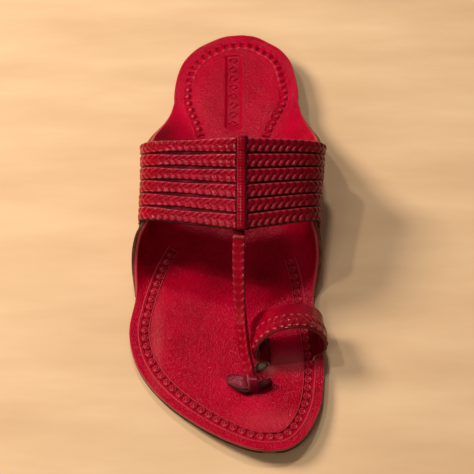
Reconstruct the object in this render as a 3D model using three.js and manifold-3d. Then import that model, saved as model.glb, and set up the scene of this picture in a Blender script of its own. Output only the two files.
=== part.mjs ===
// Kolhapuri sandal for the right foot: millimetres, +Z up, toes toward -Y, big toe toward +X.
// Stations along the sole are measured from the back of the heel toward the toes.
import * as THREE from 'three';
import { mergeVertices } from 'three/addons/utils/BufferGeometryUtils.js';
import Module from 'manifold-3d';

const wasm = await Module();
wasm.setup();

// Driving sizes of the sole
const soleLength = 280;
const ballWidth = 106;
const heelLiftHeight = 7;
const heelLiftInset = 0.8;
const outsoleThickness = 3.6;
const outsoleUndercut = 0.9;
const insoleThickness = 1.8;
const toeSpring = 4;
const clearance = 0.3;
const bandClearance = 0.45;

// Driving sizes of the wings and their outer layers
const wingHeight = 27;
const wingFoldInset = 8;
const earThickness = 1.4;
const earRootLap = 5;

// Driving sizes of the instep band
const bandWall = 1.4;
const stripCount = 6;
const stripRaise = 1;
const stripGapShare = 0.1;
const crownRear = 54;
const crownFront = 44;
const ridgeOffset = 2.4;
const ridgePitch = 0.24;
const centreStripWidth = 5.2;
const centreStripRaise = 0.7;

// Driving sizes of the toe strap, the toe loop and the knot
const toeStrapWidth = 6.4;
const toeStrapThickness = 3.2;
const toeLoopWidth = 19;
const toeLoopWall = 2;
const toeLoopSpan = 36;
const toeLoopInset = 1.2;
const toeLoopDrift = 1.8;
const toeLoopHeight = 22.5;
const toeLoopBraidRaise = 0.8;
const tieWidth = 7.6;
const tieThickness = 1.4;
const tieSpan = 25;

// Stations as shares of the sole's length
const heelBreast = 0.268;
const archStart = 0.264;
const archEnd = 0.543;
const springStart = 0.829;
const earStart = 0.215;
const earEnd = 0.65;
const bandEndRear = 0.359;
const bandEndFront = 0.534;
const bandCrownRear = 0.416;
const bandCrownFront = 0.603;
const toeLoopStation = 0.782;
const knotStation = 0.851;

// Half widths of the sole on both sides of its axis, as shares of the ball width
const outlineRows = [
  { at: 0, lateral: -0.009, medial: 0.047 },
  { at: 0.0043, lateral: 0.075, medial: 0.108 },
  { at: 0.0229, lateral: 0.172, medial: 0.189 },
  { at: 0.0396, lateral: 0.234, medial: 0.247 },
  { at: 0.0732, lateral: 0.301, medial: 0.304 },
  { at: 0.1071, lateral: 0.333, medial: 0.326 },
  { at: 0.1536, lateral: 0.351, medial: 0.344 },
  { at: 0.1857, lateral: 0.351, medial: 0.342 },
  { at: 0.2214, lateral: 0.326, medial: 0.308 },
  { at: 0.2821, lateral: 0.274, medial: 0.239 },
  { at: 0.3643, lateral: 0.251, medial: 0.217 },
  { at: 0.4357, lateral: 0.288, medial: 0.245 },
  { at: 0.5071, lateral: 0.373, medial: 0.305 },
  { at: 0.55, lateral: 0.434, medial: 0.347 },
  { at: 0.5964, lateral: 0.481, medial: 0.379 },
  { at: 0.6679, lateral: 0.532, medial: 0.402 },
  { at: 0.7357, lateral: 0.557, medial: 0.43 },
  { at: 0.7964, lateral: 0.526, medial: 0.446 },
  { at: 0.8429, lateral: 0.466, medial: 0.441 },
  { at: 0.8946, lateral: 0.353, medial: 0.425 },
  { at: 0.9357, lateral: 0.222, medial: 0.389 },
  { at: 0.9625, lateral: 0.118, medial: 0.351 },
  { at: 0.9839, lateral: 0.014, medial: 0.302 },
  { at: 0.9975, lateral: -0.08, medial: 0.241 },
  { at: 1, lateral: -0.127, medial: 0.193 },
];

// How far each wing's edge stands out past the sole's edge, as shares of the ball width,
// and how high it rises, as shares of the wing height
const wingRows = [
  { at: 0.186, lateral: 0, lateralRise: 0, medial: 0, medialRise: 0 },
  { at: 0.204, lateral: 0.021, lateralRise: 0.015, medial: 0.025, medialRise: 0.015 },
  { at: 0.221, lateral: 0.044, lateralRise: 0.056, medial: 0.052, medialRise: 0.056 },
  { at: 0.246, lateral: 0.086, lateralRise: 0.148, medial: 0.099, medialRise: 0.148 },
  { at: 0.271, lateral: 0.131, lateralRise: 0.278, medial: 0.145, medialRise: 0.278 },
  { at: 0.296, lateral: 0.168, lateralRise: 0.426, medial: 0.181, medialRise: 0.426 },
  { at: 0.321, lateral: 0.193, lateralRise: 0.593, medial: 0.2, medialRise: 0.593 },
  { at: 0.346, lateral: 0.203, lateralRise: 0.778, medial: 0.202, medialRise: 0.778 },
  { at: 0.371, lateral: 0.202, lateralRise: 0.926, medial: 0.195, medialRise: 0.926 },
  { at: 0.418, lateral: 0.18, lateralRise: 1, medial: 0.169, medialRise: 1 },
  { at: 0.471, lateral: 0.128, lateralRise: 1, medial: 0.117, medialRise: 1 },
  { at: 0.511, lateral: 0.077, lateralRise: 0.981, medial: 0.071, medialRise: 0.981 },
  { at: 0.536, lateral: 0.047, lateralRise: 0.926, medial: 0.049, medialRise: 0.907 },
  { at: 0.554, lateral: 0.054, lateralRise: 0.796, medial: 0.05, medialRise: 0.778 },
  { at: 0.571, lateral: 0.054, lateralRise: 0.593, medial: 0.047, medialRise: 0.574 },
  { at: 0.589, lateral: 0.046, lateralRise: 0.389, medial: 0.038, medialRise: 0.389 },
  { at: 0.611, lateral: 0.032, lateralRise: 0.204, medial: 0.022, medialRise: 0.222 },
  { at: 0.636, lateral: 0.014, lateralRise: 0.074, medial: 0.008, medialRise: 0.074 },
  { at: 0.661, lateral: 0.002, lateralRise: 0.015, medial: 0.001, medialRise: 0.015 },
  { at: 0.679, lateral: 0, lateralRise: 0, medial: 0, medialRise: 0 },
];

// Toe strap from the band's front edge to the knot: along is the share of that distance,
// across the offset as a share of the ball width, height the share of the front crown,
// and turn the twist of its top face in degrees
const toeStrapRows = [
  { along: 0.02, across: 0.009, height: 0.982, turn: 0 },
  { along: 0.08, across: 0.008, height: 0.93, turn: 2 },
  { along: 0.15, across: 0.006, height: 0.868, turn: 6 },
  { along: 0.31, across: 0.005, height: 0.695, turn: 18 },
  { along: 0.51, across: 0.008, height: 0.5, turn: 34 },
  { along: 0.68, across: 0.021, height: 0.332, turn: 44 },
  { along: 0.82, across: 0.034, height: 0.209, turn: 40 },
  { along: 0.93, across: 0.05, height: 0.146, turn: 22 },
];

// Toe loop seen along the foot: across is the share of its span from its lateral side,
// height the share of its own height
const toeLoopRows = [
  { across: 0.2, height: 0.03 },
  { across: 0.18, height: 0.11 },
  { across: 0.115, height: 0.155 },
  { across: 0.045, height: 0.2 },
  { across: 0, height: 0.4 },
  { across: 0.06, height: 0.68 },
  { across: 0.25, height: 0.93 },
  { across: 0.5, height: 1 },
  { across: 0.75, height: 0.93 },
  { across: 0.94, height: 0.68 },
  { across: 1, height: 0.4 },
  { across: 0.965, height: 0.2 },
  { across: 0.905, height: 0.155 },
  { across: 0.85, height: 0.11 },
  { across: 0.83, height: 0.03 },
];

const colours = { crimson: 0xa80a22, darkEdge: 0x3a1712, heelEdge: 0x5a2418 };
const leather = (color, roughness) => new THREE.MeshStandardMaterial({ color, roughness, metalness: 0 });

// A point at an offset across, a station along and a height above the floor
const place = (across, station, height) => new THREE.Vector3(across, -station, height);

const smoothShare = (from, to, value) => THREE.MathUtils.smoothstep(value, from, to);

// Samples a smooth curve through rows of numbers
function smoothRows(rows, steps) {
  const points = rows.map(([a, b, c]) => new THREE.Vector3(a, b, c ?? 0));
  return new THREE.CatmullRomCurve3(points, false, 'centripetal').getPoints(steps);
}

// Reads y or z of sampled points where their x is the given value
function lookUp(samples, value, axis) {
  let i = 0;
  while (i < samples.length - 2 && samples[i + 1].x < value) i += 1;
  const from = samples[i];
  const to = samples[i + 1];
  const share = THREE.MathUtils.clamp((value - from.x) / (to.x - from.x || 1), 0, 1);
  return THREE.MathUtils.lerp(from[axis], to[axis], share);
}

const curveSteps = 900;
const sides = { lateral: -1, medial: 1 };
const outline = {};
const wings = {};
for (const side of Object.keys(sides)) {
  const halfWidths = outlineRows.map((row) => [row.at * soleLength, row[side] * ballWidth]);
  outline[side] = smoothRows(halfWidths, curveSteps);
  const wingEdges = wingRows.map((row) => [
    row.at * soleLength,
    row[side] * ballWidth,
    row[side + 'Rise'] * wingHeight,
  ]);
  wings[side] = smoothRows(wingEdges, curveSteps);
}

// Height of the outsole's top face: the heel on its lift, the arch, the flat ball and the toe spring
function seatHeight(station) {
  const share = station / soleLength;
  const lifted = heelLiftHeight * (1 - smoothShare(archStart, archEnd, share));
  const sprung = Math.max(0, (share - springStart) / (1 - springStart));
  return outsoleThickness + lifted + toeSpring * sprung * sprung;
}

const footbedHeight = (station) => seatHeight(station) + clearance + insoleThickness;
const edgeOf = (side, station) => lookUp(outline[side], station, 'y');

// A wing's cross-section: flat to the fold, then a round curve, then straight up where it is steep
function wingProfile(side, station) {
  const edge = edgeOf(side, station);
  const width = edgeOf('lateral', station) + edgeOf('medial', station);
  const fold = edge - Math.min(wingFoldInset, width / 4);
  const share = station / soleLength;
  const winged = share > wingRows[0].at && share < wingRows.at(-1).at;
  const spread = winged ? Math.max(0, lookUp(wings[side], station, 'y')) : 0;
  const rise = winged ? Math.max(0, lookUp(wings[side], station, 'z')) : 0;
  const reach = edge + spread - fold;
  const bend = Math.min(2 * Math.atan2(rise, reach), Math.PI / 2);
  const radius = bend > 0.001 ? reach / Math.sin(bend) : 0;
  const arc = bend > 0.001 ? radius * bend : reach;
  return { fold, bend, radius, arc, upright: Math.max(0, rise - reach) };
}

// A point of a wing: share 0 is the fold and 1 the edge, and drop is measured from the inner face outward
function wingPoint(side, station, share, drop) {
  const { fold, bend, radius, arc, upright } = wingProfile(side, station);
  const length = share * (arc + upright);
  const turned = bend > 0.001 ? Math.min(Math.max(length, 0), arc) / radius : 0;
  let across = fold + (radius > 0 && length > 0 ? radius * Math.sin(turned) : length);
  let height = radius > 0 ? radius * (1 - Math.cos(turned)) : 0;
  height += Math.max(0, length - arc) * (radius > 0 ? 1 : 0);
  across += drop * Math.sin(turned);
  height -= drop * Math.cos(turned);
  return place(sides[side] * across, station, footbedHeight(station) + height);
}

// Closed solid through a row of rings that have the same number of points in the same order
function loft(rings) {
  const count = rings[0].length;
  const points = rings.flat();
  const faces = [];
  for (let i = 0; i + 1 < rings.length; i += 1) {
    for (let j = 0; j < count; j += 1) {
      const a = i * count + j;
      const b = i * count + ((j + 1) % count);
      const c = a + count;
      const d = b + count;
      const crossed = points[a].distanceTo(points[d]) > points[b].distanceTo(points[c]) + 0.01;
      faces.push(...(crossed ? [a, b, c, b, d, c] : [a, b, d, a, d, c]));
    }
  }
  const last = (rings.length - 1) * count;
  for (const [a, b, c] of capFaces(rings[0])) faces.push(a, c, b);
  for (const [a, b, c] of capFaces(rings.at(-1))) faces.push(last + a, last + b, last + c);
  return closedGeometry(points, faces);
}

// Triangles that close a ring, laid as a ladder between its two long sides
function capFaces(ring) {
  const faces = [];
  let i = 0;
  let j = ring.length - 1;
  while (j - i > 1) {
    const ahead = ring[i + 1].distanceTo(ring[j]);
    const behind = ring[i].distanceTo(ring[j - 1]);
    faces.push(ahead <= behind ? [i, i + 1, j] : [i, j - 1, j]);
    if (ahead <= behind) i += 1;
    else j -= 1;
  }
  return faces;
}

// Geometry with its faces turned outward
function closedGeometry(points, faces) {
  let volume = 0;
  for (let i = 0; i < faces.length; i += 3) {
    const [a, b, c] = [points[faces[i]], points[faces[i + 1]], points[faces[i + 2]]];
    volume += a.dot(b.clone().cross(c));
  }
  const geometry = new THREE.BufferGeometry();
  geometry.setAttribute('position', new THREE.Float32BufferAttribute(points.flatMap((p) => p.toArray()), 3));
  geometry.setIndex(volume < 0 ? faces.toReversed() : faces);
  return mergeVertices(geometry);
}

function solidOf(geometry) {
  const vertProperties = new Float32Array(geometry.attributes.position.array);
  const triVerts = new Uint32Array(geometry.index.array);
  return new wasm.Manifold(new wasm.Mesh({ numProp: 3, vertProperties, triVerts }));
}

function geometryOf(solid) {
  const mesh = solid.getMesh();
  const geometry = new THREE.BufferGeometry();
  geometry.setAttribute('position', new THREE.Float32BufferAttribute(mesh.vertProperties, 3));
  geometry.setIndex(Array.from(mesh.triVerts));
  return geometry;
}

// Stations close together at the round ends of the sole and further apart along its middle
const soleSteps = 50;
const stations = Array.from({ length: soleSteps + 1 }, (_, i) => (
  soleLength * (1 - Math.cos(Math.PI * i / soleSteps)) / 2
));
const stationsBetween = (from, to) => [
  from,
  ...stations.filter((station) => station > from + clearance && station < to - clearance),
  to,
];
const wingSteps = 6;
const wingShares = Array.from({ length: wingSteps + 1 }, (_, i) => i / wingSteps);

// Insole: the footbed with both wings in one sheet
const middleOf = (station) => (edgeOf('medial', station) - edgeOf('lateral', station)) / 2;
function insoleRing(station) {
  const face = (drop) => [
    ...wingShares.toReversed().map((share) => wingPoint('lateral', station, share, drop)),
    place(middleOf(station), station, footbedHeight(station) - drop),
    ...wingShares.map((share) => wingPoint('medial', station, share, drop)),
  ];
  return [...face(0), ...face(insoleThickness).toReversed()];
}

// Outer layer of a wing, with its root under the insole
const earStations = stationsBetween(earStart * soleLength, earEnd * soleLength);
const earInner = insoleThickness + clearance;
function earRing(side, station) {
  const { arc, upright } = wingProfile(side, station);
  const rootShare = -earRootLap / (arc + upright);
  const shares = [rootShare, ...wingShares];
  const inner = shares.map((share) => wingPoint(side, station, share, earInner));
  const outer = shares.map((share) => wingPoint(side, station, share, earInner + earThickness));
  return [...inner, ...outer.toReversed()];
}

// Outsole: a shelf in its top face takes the roots of the outer layers
const shelfDepth = earThickness + clearance;
const shelfWallRun = 0.1;
const shelfStart = earStart * soleLength - clearance;
const shelfEnd = earEnd * soleLength + clearance;
const outsoleStations = [
  ...stations.filter((station) => station < shelfStart - 1),
  shelfStart - shelfWallRun,
  shelfStart,
  ...stations.filter((station) => station > shelfStart + 1 && station < shelfEnd - 1),
  shelfEnd,
  shelfEnd + shelfWallRun,
  ...stations.filter((station) => station > shelfEnd + 1),
];
function outsoleRing(station) {
  const shelved = station >= shelfStart && station <= shelfEnd;
  const top = seatHeight(station);
  const low = top - (shelved ? shelfDepth : 0);
  const half = (side, inset) => sides[side] * (edgeOf(side, station) - inset);
  const stepInset = (side) => {
    const width = edgeOf('lateral', station) + edgeOf('medial', station);
    const fold = edgeOf(side, station) - wingProfile(side, station).fold;
    return Math.min(fold + earRootLap + clearance, width / 3);
  };
  const stepFrom = (side) => half(side, stepInset(side));
  const stepTo = (side) => half(side, stepInset(side) + shelfWallRun);
  const bottom = top - outsoleThickness;
  const undercut = Math.min(outsoleUndercut, (edgeOf('lateral', station) + edgeOf('medial', station)) / 6);
  return [
    place(half('lateral', 0), station, low),
    place(stepFrom('lateral'), station, low),
    place(stepTo('lateral'), station, top),
    place(middleOf(station), station, top),
    place(stepTo('medial'), station, top),
    place(stepFrom('medial'), station, low),
    place(half('medial', 0), station, low),
    place(half('medial', undercut), station, bottom),
    place(middleOf(station), station, bottom),
    place(half('lateral', undercut), station, bottom),
  ];
}

// Heel lift: the heel's outline drawn in by its inset, from the outsole's underside down to the floor
const heelLength = heelBreast * soleLength;
const heelInset = outsoleUndercut + heelLiftInset;
function heelRing(station) {
  const across = (side) => sides[side] * Math.max(heelInset, edgeOf(side, station) - heelInset);
  const moved = station + heelInset * (1 - station / heelLength);
  const middle = (across('lateral') + across('medial')) / 2;
  const top = seatHeight(moved) - outsoleThickness - clearance;
  return [
    place(across('lateral'), moved, top),
    place(middle, moved, top),
    place(across('medial'), moved, top),
    place(across('medial'), moved, 0),
    place(middle, moved, 0),
    place(across('lateral'), moved, 0),
  ];
}
const heelStations = stationsBetween(0, heelLength);

// Instep band. Its course runs from -2 at the lateral end to 2 at the medial end: past 1 it lies on
// the outer layer of the wing, and between them it arches to the ridge at 0. Its depth runs from 0 at
// the rear edge to 1 at the front edge.
const bandDrop = earInner + earThickness + bandClearance;
const bandLap = 0.5;
const archFullness = 0.66;
function bandSurface(course, depth) {
  const side = course < 0 ? 'lateral' : 'medial';
  const away = Math.abs(course);
  const endStation = THREE.MathUtils.lerp(bandEndRear, bandEndFront, depth) * soleLength;
  if (away >= 1) return wingPoint(side, endStation, 1 - (away - 1) * (1 - bandLap), bandDrop);
  const start = wingPoint(side, endStation, 1, bandDrop);
  const before = wingPoint(side, endStation, 0.98, bandDrop);
  const tangent = start.clone().sub(before).setY(0).normalize();
  const crownStation = THREE.MathUtils.lerp(bandCrownRear, bandCrownFront, depth) * soleLength;
  const crownHeight = THREE.MathUtils.lerp(crownRear, crownFront, depth);
  const crown = place(ridgeOffset, crownStation, footbedHeight(crownStation) + crownHeight);
  const climb = crown.z - start.z;
  const span = Math.abs(crown.x - start.x);
  const high = start.clone().addScaledVector(tangent, archFullness * climb);
  const low = crown.clone();
  low.x += sides[side] * archFullness * span;
  low.z -= ridgePitch * archFullness * span;
  const arch = new THREE.CubicBezierCurve3(start, high, low, crown).getPoint(1 - away);
  const climbed = (arch.z - start.z) / climb;
  const crossed = Math.abs(arch.x - start.x) / span;
  const lean = THREE.MathUtils.lerp(crossed, climbed, 1 - 0.4 * depth);
  return place(arch.x, THREE.MathUtils.lerp(endStation, crownStation, lean), arch.z);
}

// A point at a height over the band's inner face, along its own normal
function bandPoint(course, depth, lift) {
  const nudge = 0.001;
  const centre = Math.abs(course) < 2 * nudge ? 2 * nudge * Math.sign(course || 1) : course;
  const along = bandSurface(centre + nudge, depth).sub(bandSurface(centre - nudge, depth));
  const fore = bandSurface(centre, depth + nudge).sub(bandSurface(centre, depth - nudge));
  const normal = fore.cross(along).normalize();
  if (Math.abs(course) <= 2 * nudge) normal.setX(0).normalize();
  return bandSurface(course, depth).addScaledVector(normal, lift);
}

// Depth and lift of the band's outer face across its strips, from the rear edge to the front edge
const bandRelief = Array.from({ length: stripCount }, (_, strip) => [
  { depth: (strip + (strip > 0 ? stripGapShare / 2 : 0)) / stripCount, lift: bandWall },
  { depth: (strip + stripGapShare) / stripCount, lift: bandWall + stripRaise * 0.8 },
  { depth: (strip + 0.5) / stripCount, lift: bandWall + stripRaise },
  { depth: (strip + 1 - stripGapShare) / stripCount, lift: bandWall + stripRaise * 0.8 },
  { depth: (strip + 1 - (strip < stripCount - 1 ? stripGapShare / 2 : 0)) / stripCount, lift: bandWall },
]).flat();
const innerSteps = 8;
const bandInside = Array.from({ length: innerSteps + 1 }, (_, i) => ({ depth: 1 - i / innerSteps, lift: 0 }));
const lapCourses = [2, 5 / 3, 4 / 3];
const archSteps = 12;
const archCourses = Array.from({ length: archSteps }, (_, i) => 1 - i / archSteps);
const halfCourses = [...lapCourses, ...archCourses];
const bandCourses = [...halfCourses.map((course) => -course), 0, ...halfCourses.toReversed()];
const bandRing = (course) => (
  [...bandRelief, ...bandInside].map(({ depth, lift }) => bandPoint(course, depth, lift))
);

// Centre strip: covers the ridge where the band's two halves meet
const centreSteps = 14;
function centreStripRing(depth) {
  const ridge = bandPoint(0, depth, 0);
  const top = bandWall + stripRaise + centreStripRaise;
  const half = centreStripWidth / 2;
  const offset = (across, lift) => (
    place(ridge.x + across, -ridge.y, ridge.z + lift - ridgePitch * Math.abs(across))
  );
  return [
    offset(-half, bandWall / 2),
    offset(-half, top),
    offset(0, top),
    offset(half, top),
    offset(half, bandWall / 2),
    offset(0, bandWall / 2),
  ];
}

// Ring of a flat strip round a point of its path, turned about the path by an angle
function stripRing(point, tangent, turn, width, thickness) {
  const across = new THREE.Vector3(1, 0, 0).projectOnPlane(tangent).normalize();
  across.applyAxisAngle(tangent, turn);
  const up = tangent.clone().cross(across).normalize();
  const corner = thickness / 4;
  const section = [
    [-width / 2, 0], [-width / 2, thickness - corner], [-width / 2 + corner, thickness],
    [width / 2 - corner, thickness], [width / 2, thickness - corner], [width / 2, 0],
  ];
  return section.map(([a, b]) => point.clone().addScaledVector(across, a).addScaledVector(up, b - thickness));
}

// Toe strap: from under the band, down over the footbed, over the tie strip and into its slit
const knotAt = knotStation * soleLength;
const strapEndTuck = 0.4;
const strapEndDrift = 1;
const tieDrift = 0.7;
const strapBendBack = 1.5;
const strapBendDrop = toeStrapThickness * 0.45;
const strapRootDepth = 0.8;
const strapRootLift = bandWall * 0.7;
const slitAt = knotAt + tieWidth / 2 + clearance + toeStrapThickness / 2 - strapEndTuck;
const tieTop = footbedHeight(knotAt) + clearance + tieThickness;
function toeStrapPath() {
  const root = bandPoint(0, strapRootDepth, strapRootLift);
  const edge = bandPoint(0, 1, strapRootLift);
  const frontEdge = -edge.y;
  const rows = toeStrapRows.map((row) => {
    const station = THREE.MathUtils.lerp(frontEdge, knotAt, row.along);
    const height = footbedHeight(station) + row.height * crownFront;
    return { point: place(row.across * ballWidth, station, height), turn: row.turn };
  });
  const across = toeStrapRows.at(-1).across * ballWidth;
  const over = tieTop + 2 * clearance + toeStrapThickness;
  const slitX = across + strapEndDrift;
  const front = slitAt + toeStrapThickness / 2;
  return [
    { point: root, turn: 0 },
    { point: edge, turn: 0 },
    ...rows,
    { point: place(across + tieDrift, knotAt, over), turn: 0 },
    { point: place(slitX, front - strapBendBack, over - strapBendDrop), turn: 0 },
    { point: place(slitX, front, footbedHeight(slitAt) + strapBendBack), turn: 0 },
    { point: place(slitX, front, seatHeight(slitAt) + 2 * clearance), turn: 0 },
  ];
}
const strapSteps = 34;
function toeStrapGeometry() {
  const path = toeStrapPath();
  const curve = new THREE.CatmullRomCurve3(path.map((row) => row.point), false, 'centripetal');
  const rings = Array.from({ length: strapSteps + 1 }, (_, i) => {
    const t = i / strapSteps;
    const at = t * (path.length - 1);
    const k = Math.min(Math.floor(at), path.length - 2);
    const turn = THREE.MathUtils.degToRad(THREE.MathUtils.lerp(path[k].turn, path[k + 1].turn, at - k));
    return stripRing(curve.getPoint(t), curve.getTangent(t), turn, toeStrapWidth, toeStrapThickness);
  });
  return loft(rings);
}

// Toe loop: a wide strip whose front part carries a raised braid, its feet turned in and down into slits
const toeLoopAt = toeLoopStation * soleLength;
const toeLoopLateral = edgeOf('medial', toeLoopAt) - toeLoopSpan - toeLoopInset;
const toeLoopSweep = 8;
const toeLoopLean = 6;
const toeLoopSkew = 5;
const braidFrom = 0.46;
const toeLoopFoot = (row) => toeLoopLateral + row.across * toeLoopSpan;
function toeLoopFrame(t, width) {
  const feet = [toeLoopRows[0], toeLoopRows.at(-1)];
  const down = feet.map((row) => new THREE.Vector3(toeLoopFoot(row), -insoleThickness + clearance, 0));
  const rows = toeLoopRows.map((row) => new THREE.Vector3(toeLoopFoot(row), row.height * toeLoopHeight, 0));
  const curve = new THREE.CatmullRomCurve3([down[0], ...rows, down[1]], false, 'centripetal');
  const point = curve.getPoint(t);
  const tangent = curve.getTangent(t);
  const lift = THREE.MathUtils.clamp(point.y / toeLoopHeight, 0, 1);
  const skew = toeLoopSkew * THREE.MathUtils.clamp((point.x - toeLoopLateral) / toeLoopSpan, 0, 1);
  const station = toeLoopAt - skew - toeLoopSweep * lift + (width - 0.5) * toeLoopWidth;
  point.x += (width - 0.5) * toeLoopDrift;
  return { point, tangent, station, drop: (1 - width) * toeLoopLean * lift };
}
function toeLoopPoint(t, width, lift) {
  const { point, tangent, station, drop } = toeLoopFrame(t, width);
  const across = point.x - tangent.y * lift;
  const height = point.y + tangent.x * lift;
  return place(across, station, footbedHeight(station) + height - drop);
}
const toeLoopSection = [
  { width: 0, lift: 0 },
  { width: 0, lift: toeLoopWall },
  { width: braidFrom, lift: toeLoopWall },
  { width: braidFrom + 0.02, lift: toeLoopWall + toeLoopBraidRaise * 0.8 },
  { width: 0.7, lift: toeLoopWall + toeLoopBraidRaise },
  { width: 0.94, lift: toeLoopWall + toeLoopBraidRaise * 0.8 },
  { width: 1, lift: toeLoopWall },
  { width: 1, lift: 0 },
];
const loopSteps = 40;
const braidFade = (t) => THREE.MathUtils.clamp(Math.min(t, 1 - t) / 0.14, 0, 1);
function toeLoopRing(t) {
  return toeLoopSection.map(({ width, lift }) => {
    const raised = Math.max(0, lift - toeLoopWall) * braidFade(t);
    return toeLoopPoint(t, width, Math.min(lift, toeLoopWall) + raised);
  });
}

function toeLoopGeometry() {
  return loft(Array.from({ length: loopSteps + 1 }, (_, i) => toeLoopRing(i / loopSteps)));
}

// Slit through the insole for a strap end, with clearance all round; drift is its slant over its length
function slit(across, station, halfAcross, halfAlong, drift) {
  const ring = (along) => [[-1, -1], [1, -1], [1, 1], [-1, 1]].map(([x, z]) => place(
    across + x * (halfAcross + clearance) + along * drift / 2,
    station + along * (halfAlong + clearance),
    footbedHeight(station) + z * 2 * insoleThickness,
  ));
  return solidOf(loft([ring(-1), ring(1)]));
}

function insoleGeometry() {
  const sheet = solidOf(loft(stations.map(insoleRing)));
  const feet = [toeLoopPoint(0, 0.5, toeLoopWall / 2), toeLoopPoint(1, 0.5, toeLoopWall / 2)];
  const strapEnd = toeStrapPath().at(-1).point;
  const halfStrap = toeStrapThickness / 2;
  const strapSlit = slit(strapEnd.x, -strapEnd.y - halfStrap, toeStrapWidth / 2, halfStrap, 0);
  const loopSlits = feet.map((foot) => (
    slit(foot.x, -foot.y, toeLoopWall / 2, toeLoopWidth / 2, toeLoopDrift)
  ));
  return geometryOf(loopSlits.reduce((rest, cut) => rest.subtract(cut), sheet.subtract(strapSlit)));
}

function upperGeometry() {
  const band = solidOf(loft(bandCourses.map(bandRing)));
  const stripRings = Array.from({ length: centreSteps + 1 }, (_, i) => centreStripRing(i / centreSteps));
  const strip = solidOf(loft(stripRings));
  return geometryOf(band.add(strip).add(solidOf(toeStrapGeometry())));
}

// Tie strip of the knot: a flat tab on the lateral side, thin under the strap, a rolled tail on the medial
// side. Its sections hold their middle as shares of its span and of twice its width.
const tieRows = [
  { across: -0.52, along: -0.14, width: 1, lift: 0.2, thick: 1 },
  { across: -0.3, along: -0.04, width: 1, lift: 0.1, thick: 1 },
  { across: -0.16, along: 0, width: 0.55, lift: 0, thick: 1 },
  { across: 0, along: 0, width: 0.5, lift: 0, thick: 1 },
  { across: 0.16, along: 0, width: 0.5, lift: 0, thick: 1 },
  { across: 0.3, along: -0.04, width: 0.5, lift: 0.4, thick: 1.8 },
  { across: 0.48, along: -0.16, width: 0.42, lift: 0.7, thick: 1.6 },
];
const tieRound = 0.4;
function tieGeometry() {
  const middle = toeStrapRows.at(-1).across * ballWidth + tieDrift;
  const rings = tieRows.map((row) => {
    const station = knotAt + row.along * tieWidth * 2;
    const half = row.width * tieWidth / 2;
    const base = clearance + row.lift;
    const top = base + row.thick * tieThickness;
    const at = (along, height) => place(
      middle + row.across * tieSpan,
      station + along * half,
      footbedHeight(station + along * half) + height,
    );
    const shoulder = top - tieRound;
    const flat = 0.8;
    return [at(-1, base), at(-1, shoulder), at(-flat, top), at(flat, top), at(1, shoulder), at(1, base)];
  });
  return loft(rings);
}

const sandal = new THREE.Group();
function addPiece(name, geometry, material) {
  geometry.computeVertexNormals();
  const mesh = new THREE.Mesh(geometry, material);
  mesh.name = name;
  sandal.add(mesh);
}

addPiece('outsole', loft(outsoleStations.map(outsoleRing)), leather(colours.darkEdge, 0.6));
addPiece('heel_lift', loft(heelStations.map(heelRing)), leather(colours.heelEdge, 0.55));
addPiece('insole', insoleGeometry(), leather(colours.crimson, 0.42));
for (const side of Object.keys(sides)) {
  const rings = earStations.map((station) => earRing(side, station));
  addPiece('ear_' + side, loft(rings), leather(colours.crimson, 0.45));
}
addPiece('upper', upperGeometry(), leather(colours.crimson, 0.4));
addPiece('toe_loop', toeLoopGeometry(), leather(colours.crimson, 0.4));
addPiece('toe_knot', tieGeometry(), leather(colours.darkEdge, 0.5));

// The origin is on the floor under the middle of the sandal's box
const box = new THREE.Box3().setFromObject(sandal);
const centre = box.getCenter(new THREE.Vector3());
sandal.position.set(-centre.x, -centre.y, -box.min.z);

const model = new THREE.Group();
model.add(sandal);
export default model;
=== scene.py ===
import math
import bpy
import numpy as np
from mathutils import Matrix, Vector


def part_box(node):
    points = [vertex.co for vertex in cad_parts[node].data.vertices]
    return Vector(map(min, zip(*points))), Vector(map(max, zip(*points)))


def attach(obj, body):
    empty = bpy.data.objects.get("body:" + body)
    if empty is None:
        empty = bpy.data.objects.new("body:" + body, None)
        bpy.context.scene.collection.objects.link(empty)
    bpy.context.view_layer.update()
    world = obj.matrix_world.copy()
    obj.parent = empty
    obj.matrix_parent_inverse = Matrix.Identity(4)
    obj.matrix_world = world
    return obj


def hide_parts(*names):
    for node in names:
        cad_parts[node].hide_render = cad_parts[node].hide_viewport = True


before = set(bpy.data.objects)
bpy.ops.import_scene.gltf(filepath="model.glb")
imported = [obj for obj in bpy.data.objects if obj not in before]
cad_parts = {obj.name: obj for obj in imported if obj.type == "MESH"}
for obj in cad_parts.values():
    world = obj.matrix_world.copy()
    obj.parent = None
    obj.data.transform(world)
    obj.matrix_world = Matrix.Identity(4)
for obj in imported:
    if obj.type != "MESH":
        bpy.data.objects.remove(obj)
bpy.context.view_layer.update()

# Driving sizes in millimetres, the same as the solids in the frame
SOLE_LENGTH = 280.0
BALL_WIDTH = 106.0
HEEL_LIFT = 7.0
HEEL_LIFT_INSET = 0.8
OUTSOLE = 3.6
OUTSOLE_UNDERCUT = 0.9
INSOLE = 1.8
TOE_SPRING = 4.0
CLEARANCE = 0.3
BAND_CLEARANCE = 0.45
WING_HEIGHT = 27.0
WING_FOLD_INSET = 8.0
EAR = 1.4
EAR_ROOT_LAP = 5.0
BAND_WALL = 1.4
STRIPS = 6
STRIP_RAISE = 1.0
STRIP_GAP = 0.1
CROWN_REAR = 54.0
CROWN_FRONT = 44.0
RIDGE_OFFSET = 2.4
RIDGE_PITCH = 0.24
CENTRE_STRIP_WIDTH = 5.2
CENTRE_STRIP_RAISE = 0.7
STRAP_WIDTH = 6.4
STRAP_THICKNESS = 3.2
LOOP_WIDTH = 19.0
LOOP_WALL = 2.0
LOOP_SPAN = 36.0
LOOP_INSET = 1.2
LOOP_DRIFT = 1.8
LOOP_HEIGHT = 22.5
LOOP_BRAID_RAISE = 0.8
LOOP_SWEEP = 8.0
LOOP_LEAN = 6.0
LOOP_SKEW = 5.0
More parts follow.
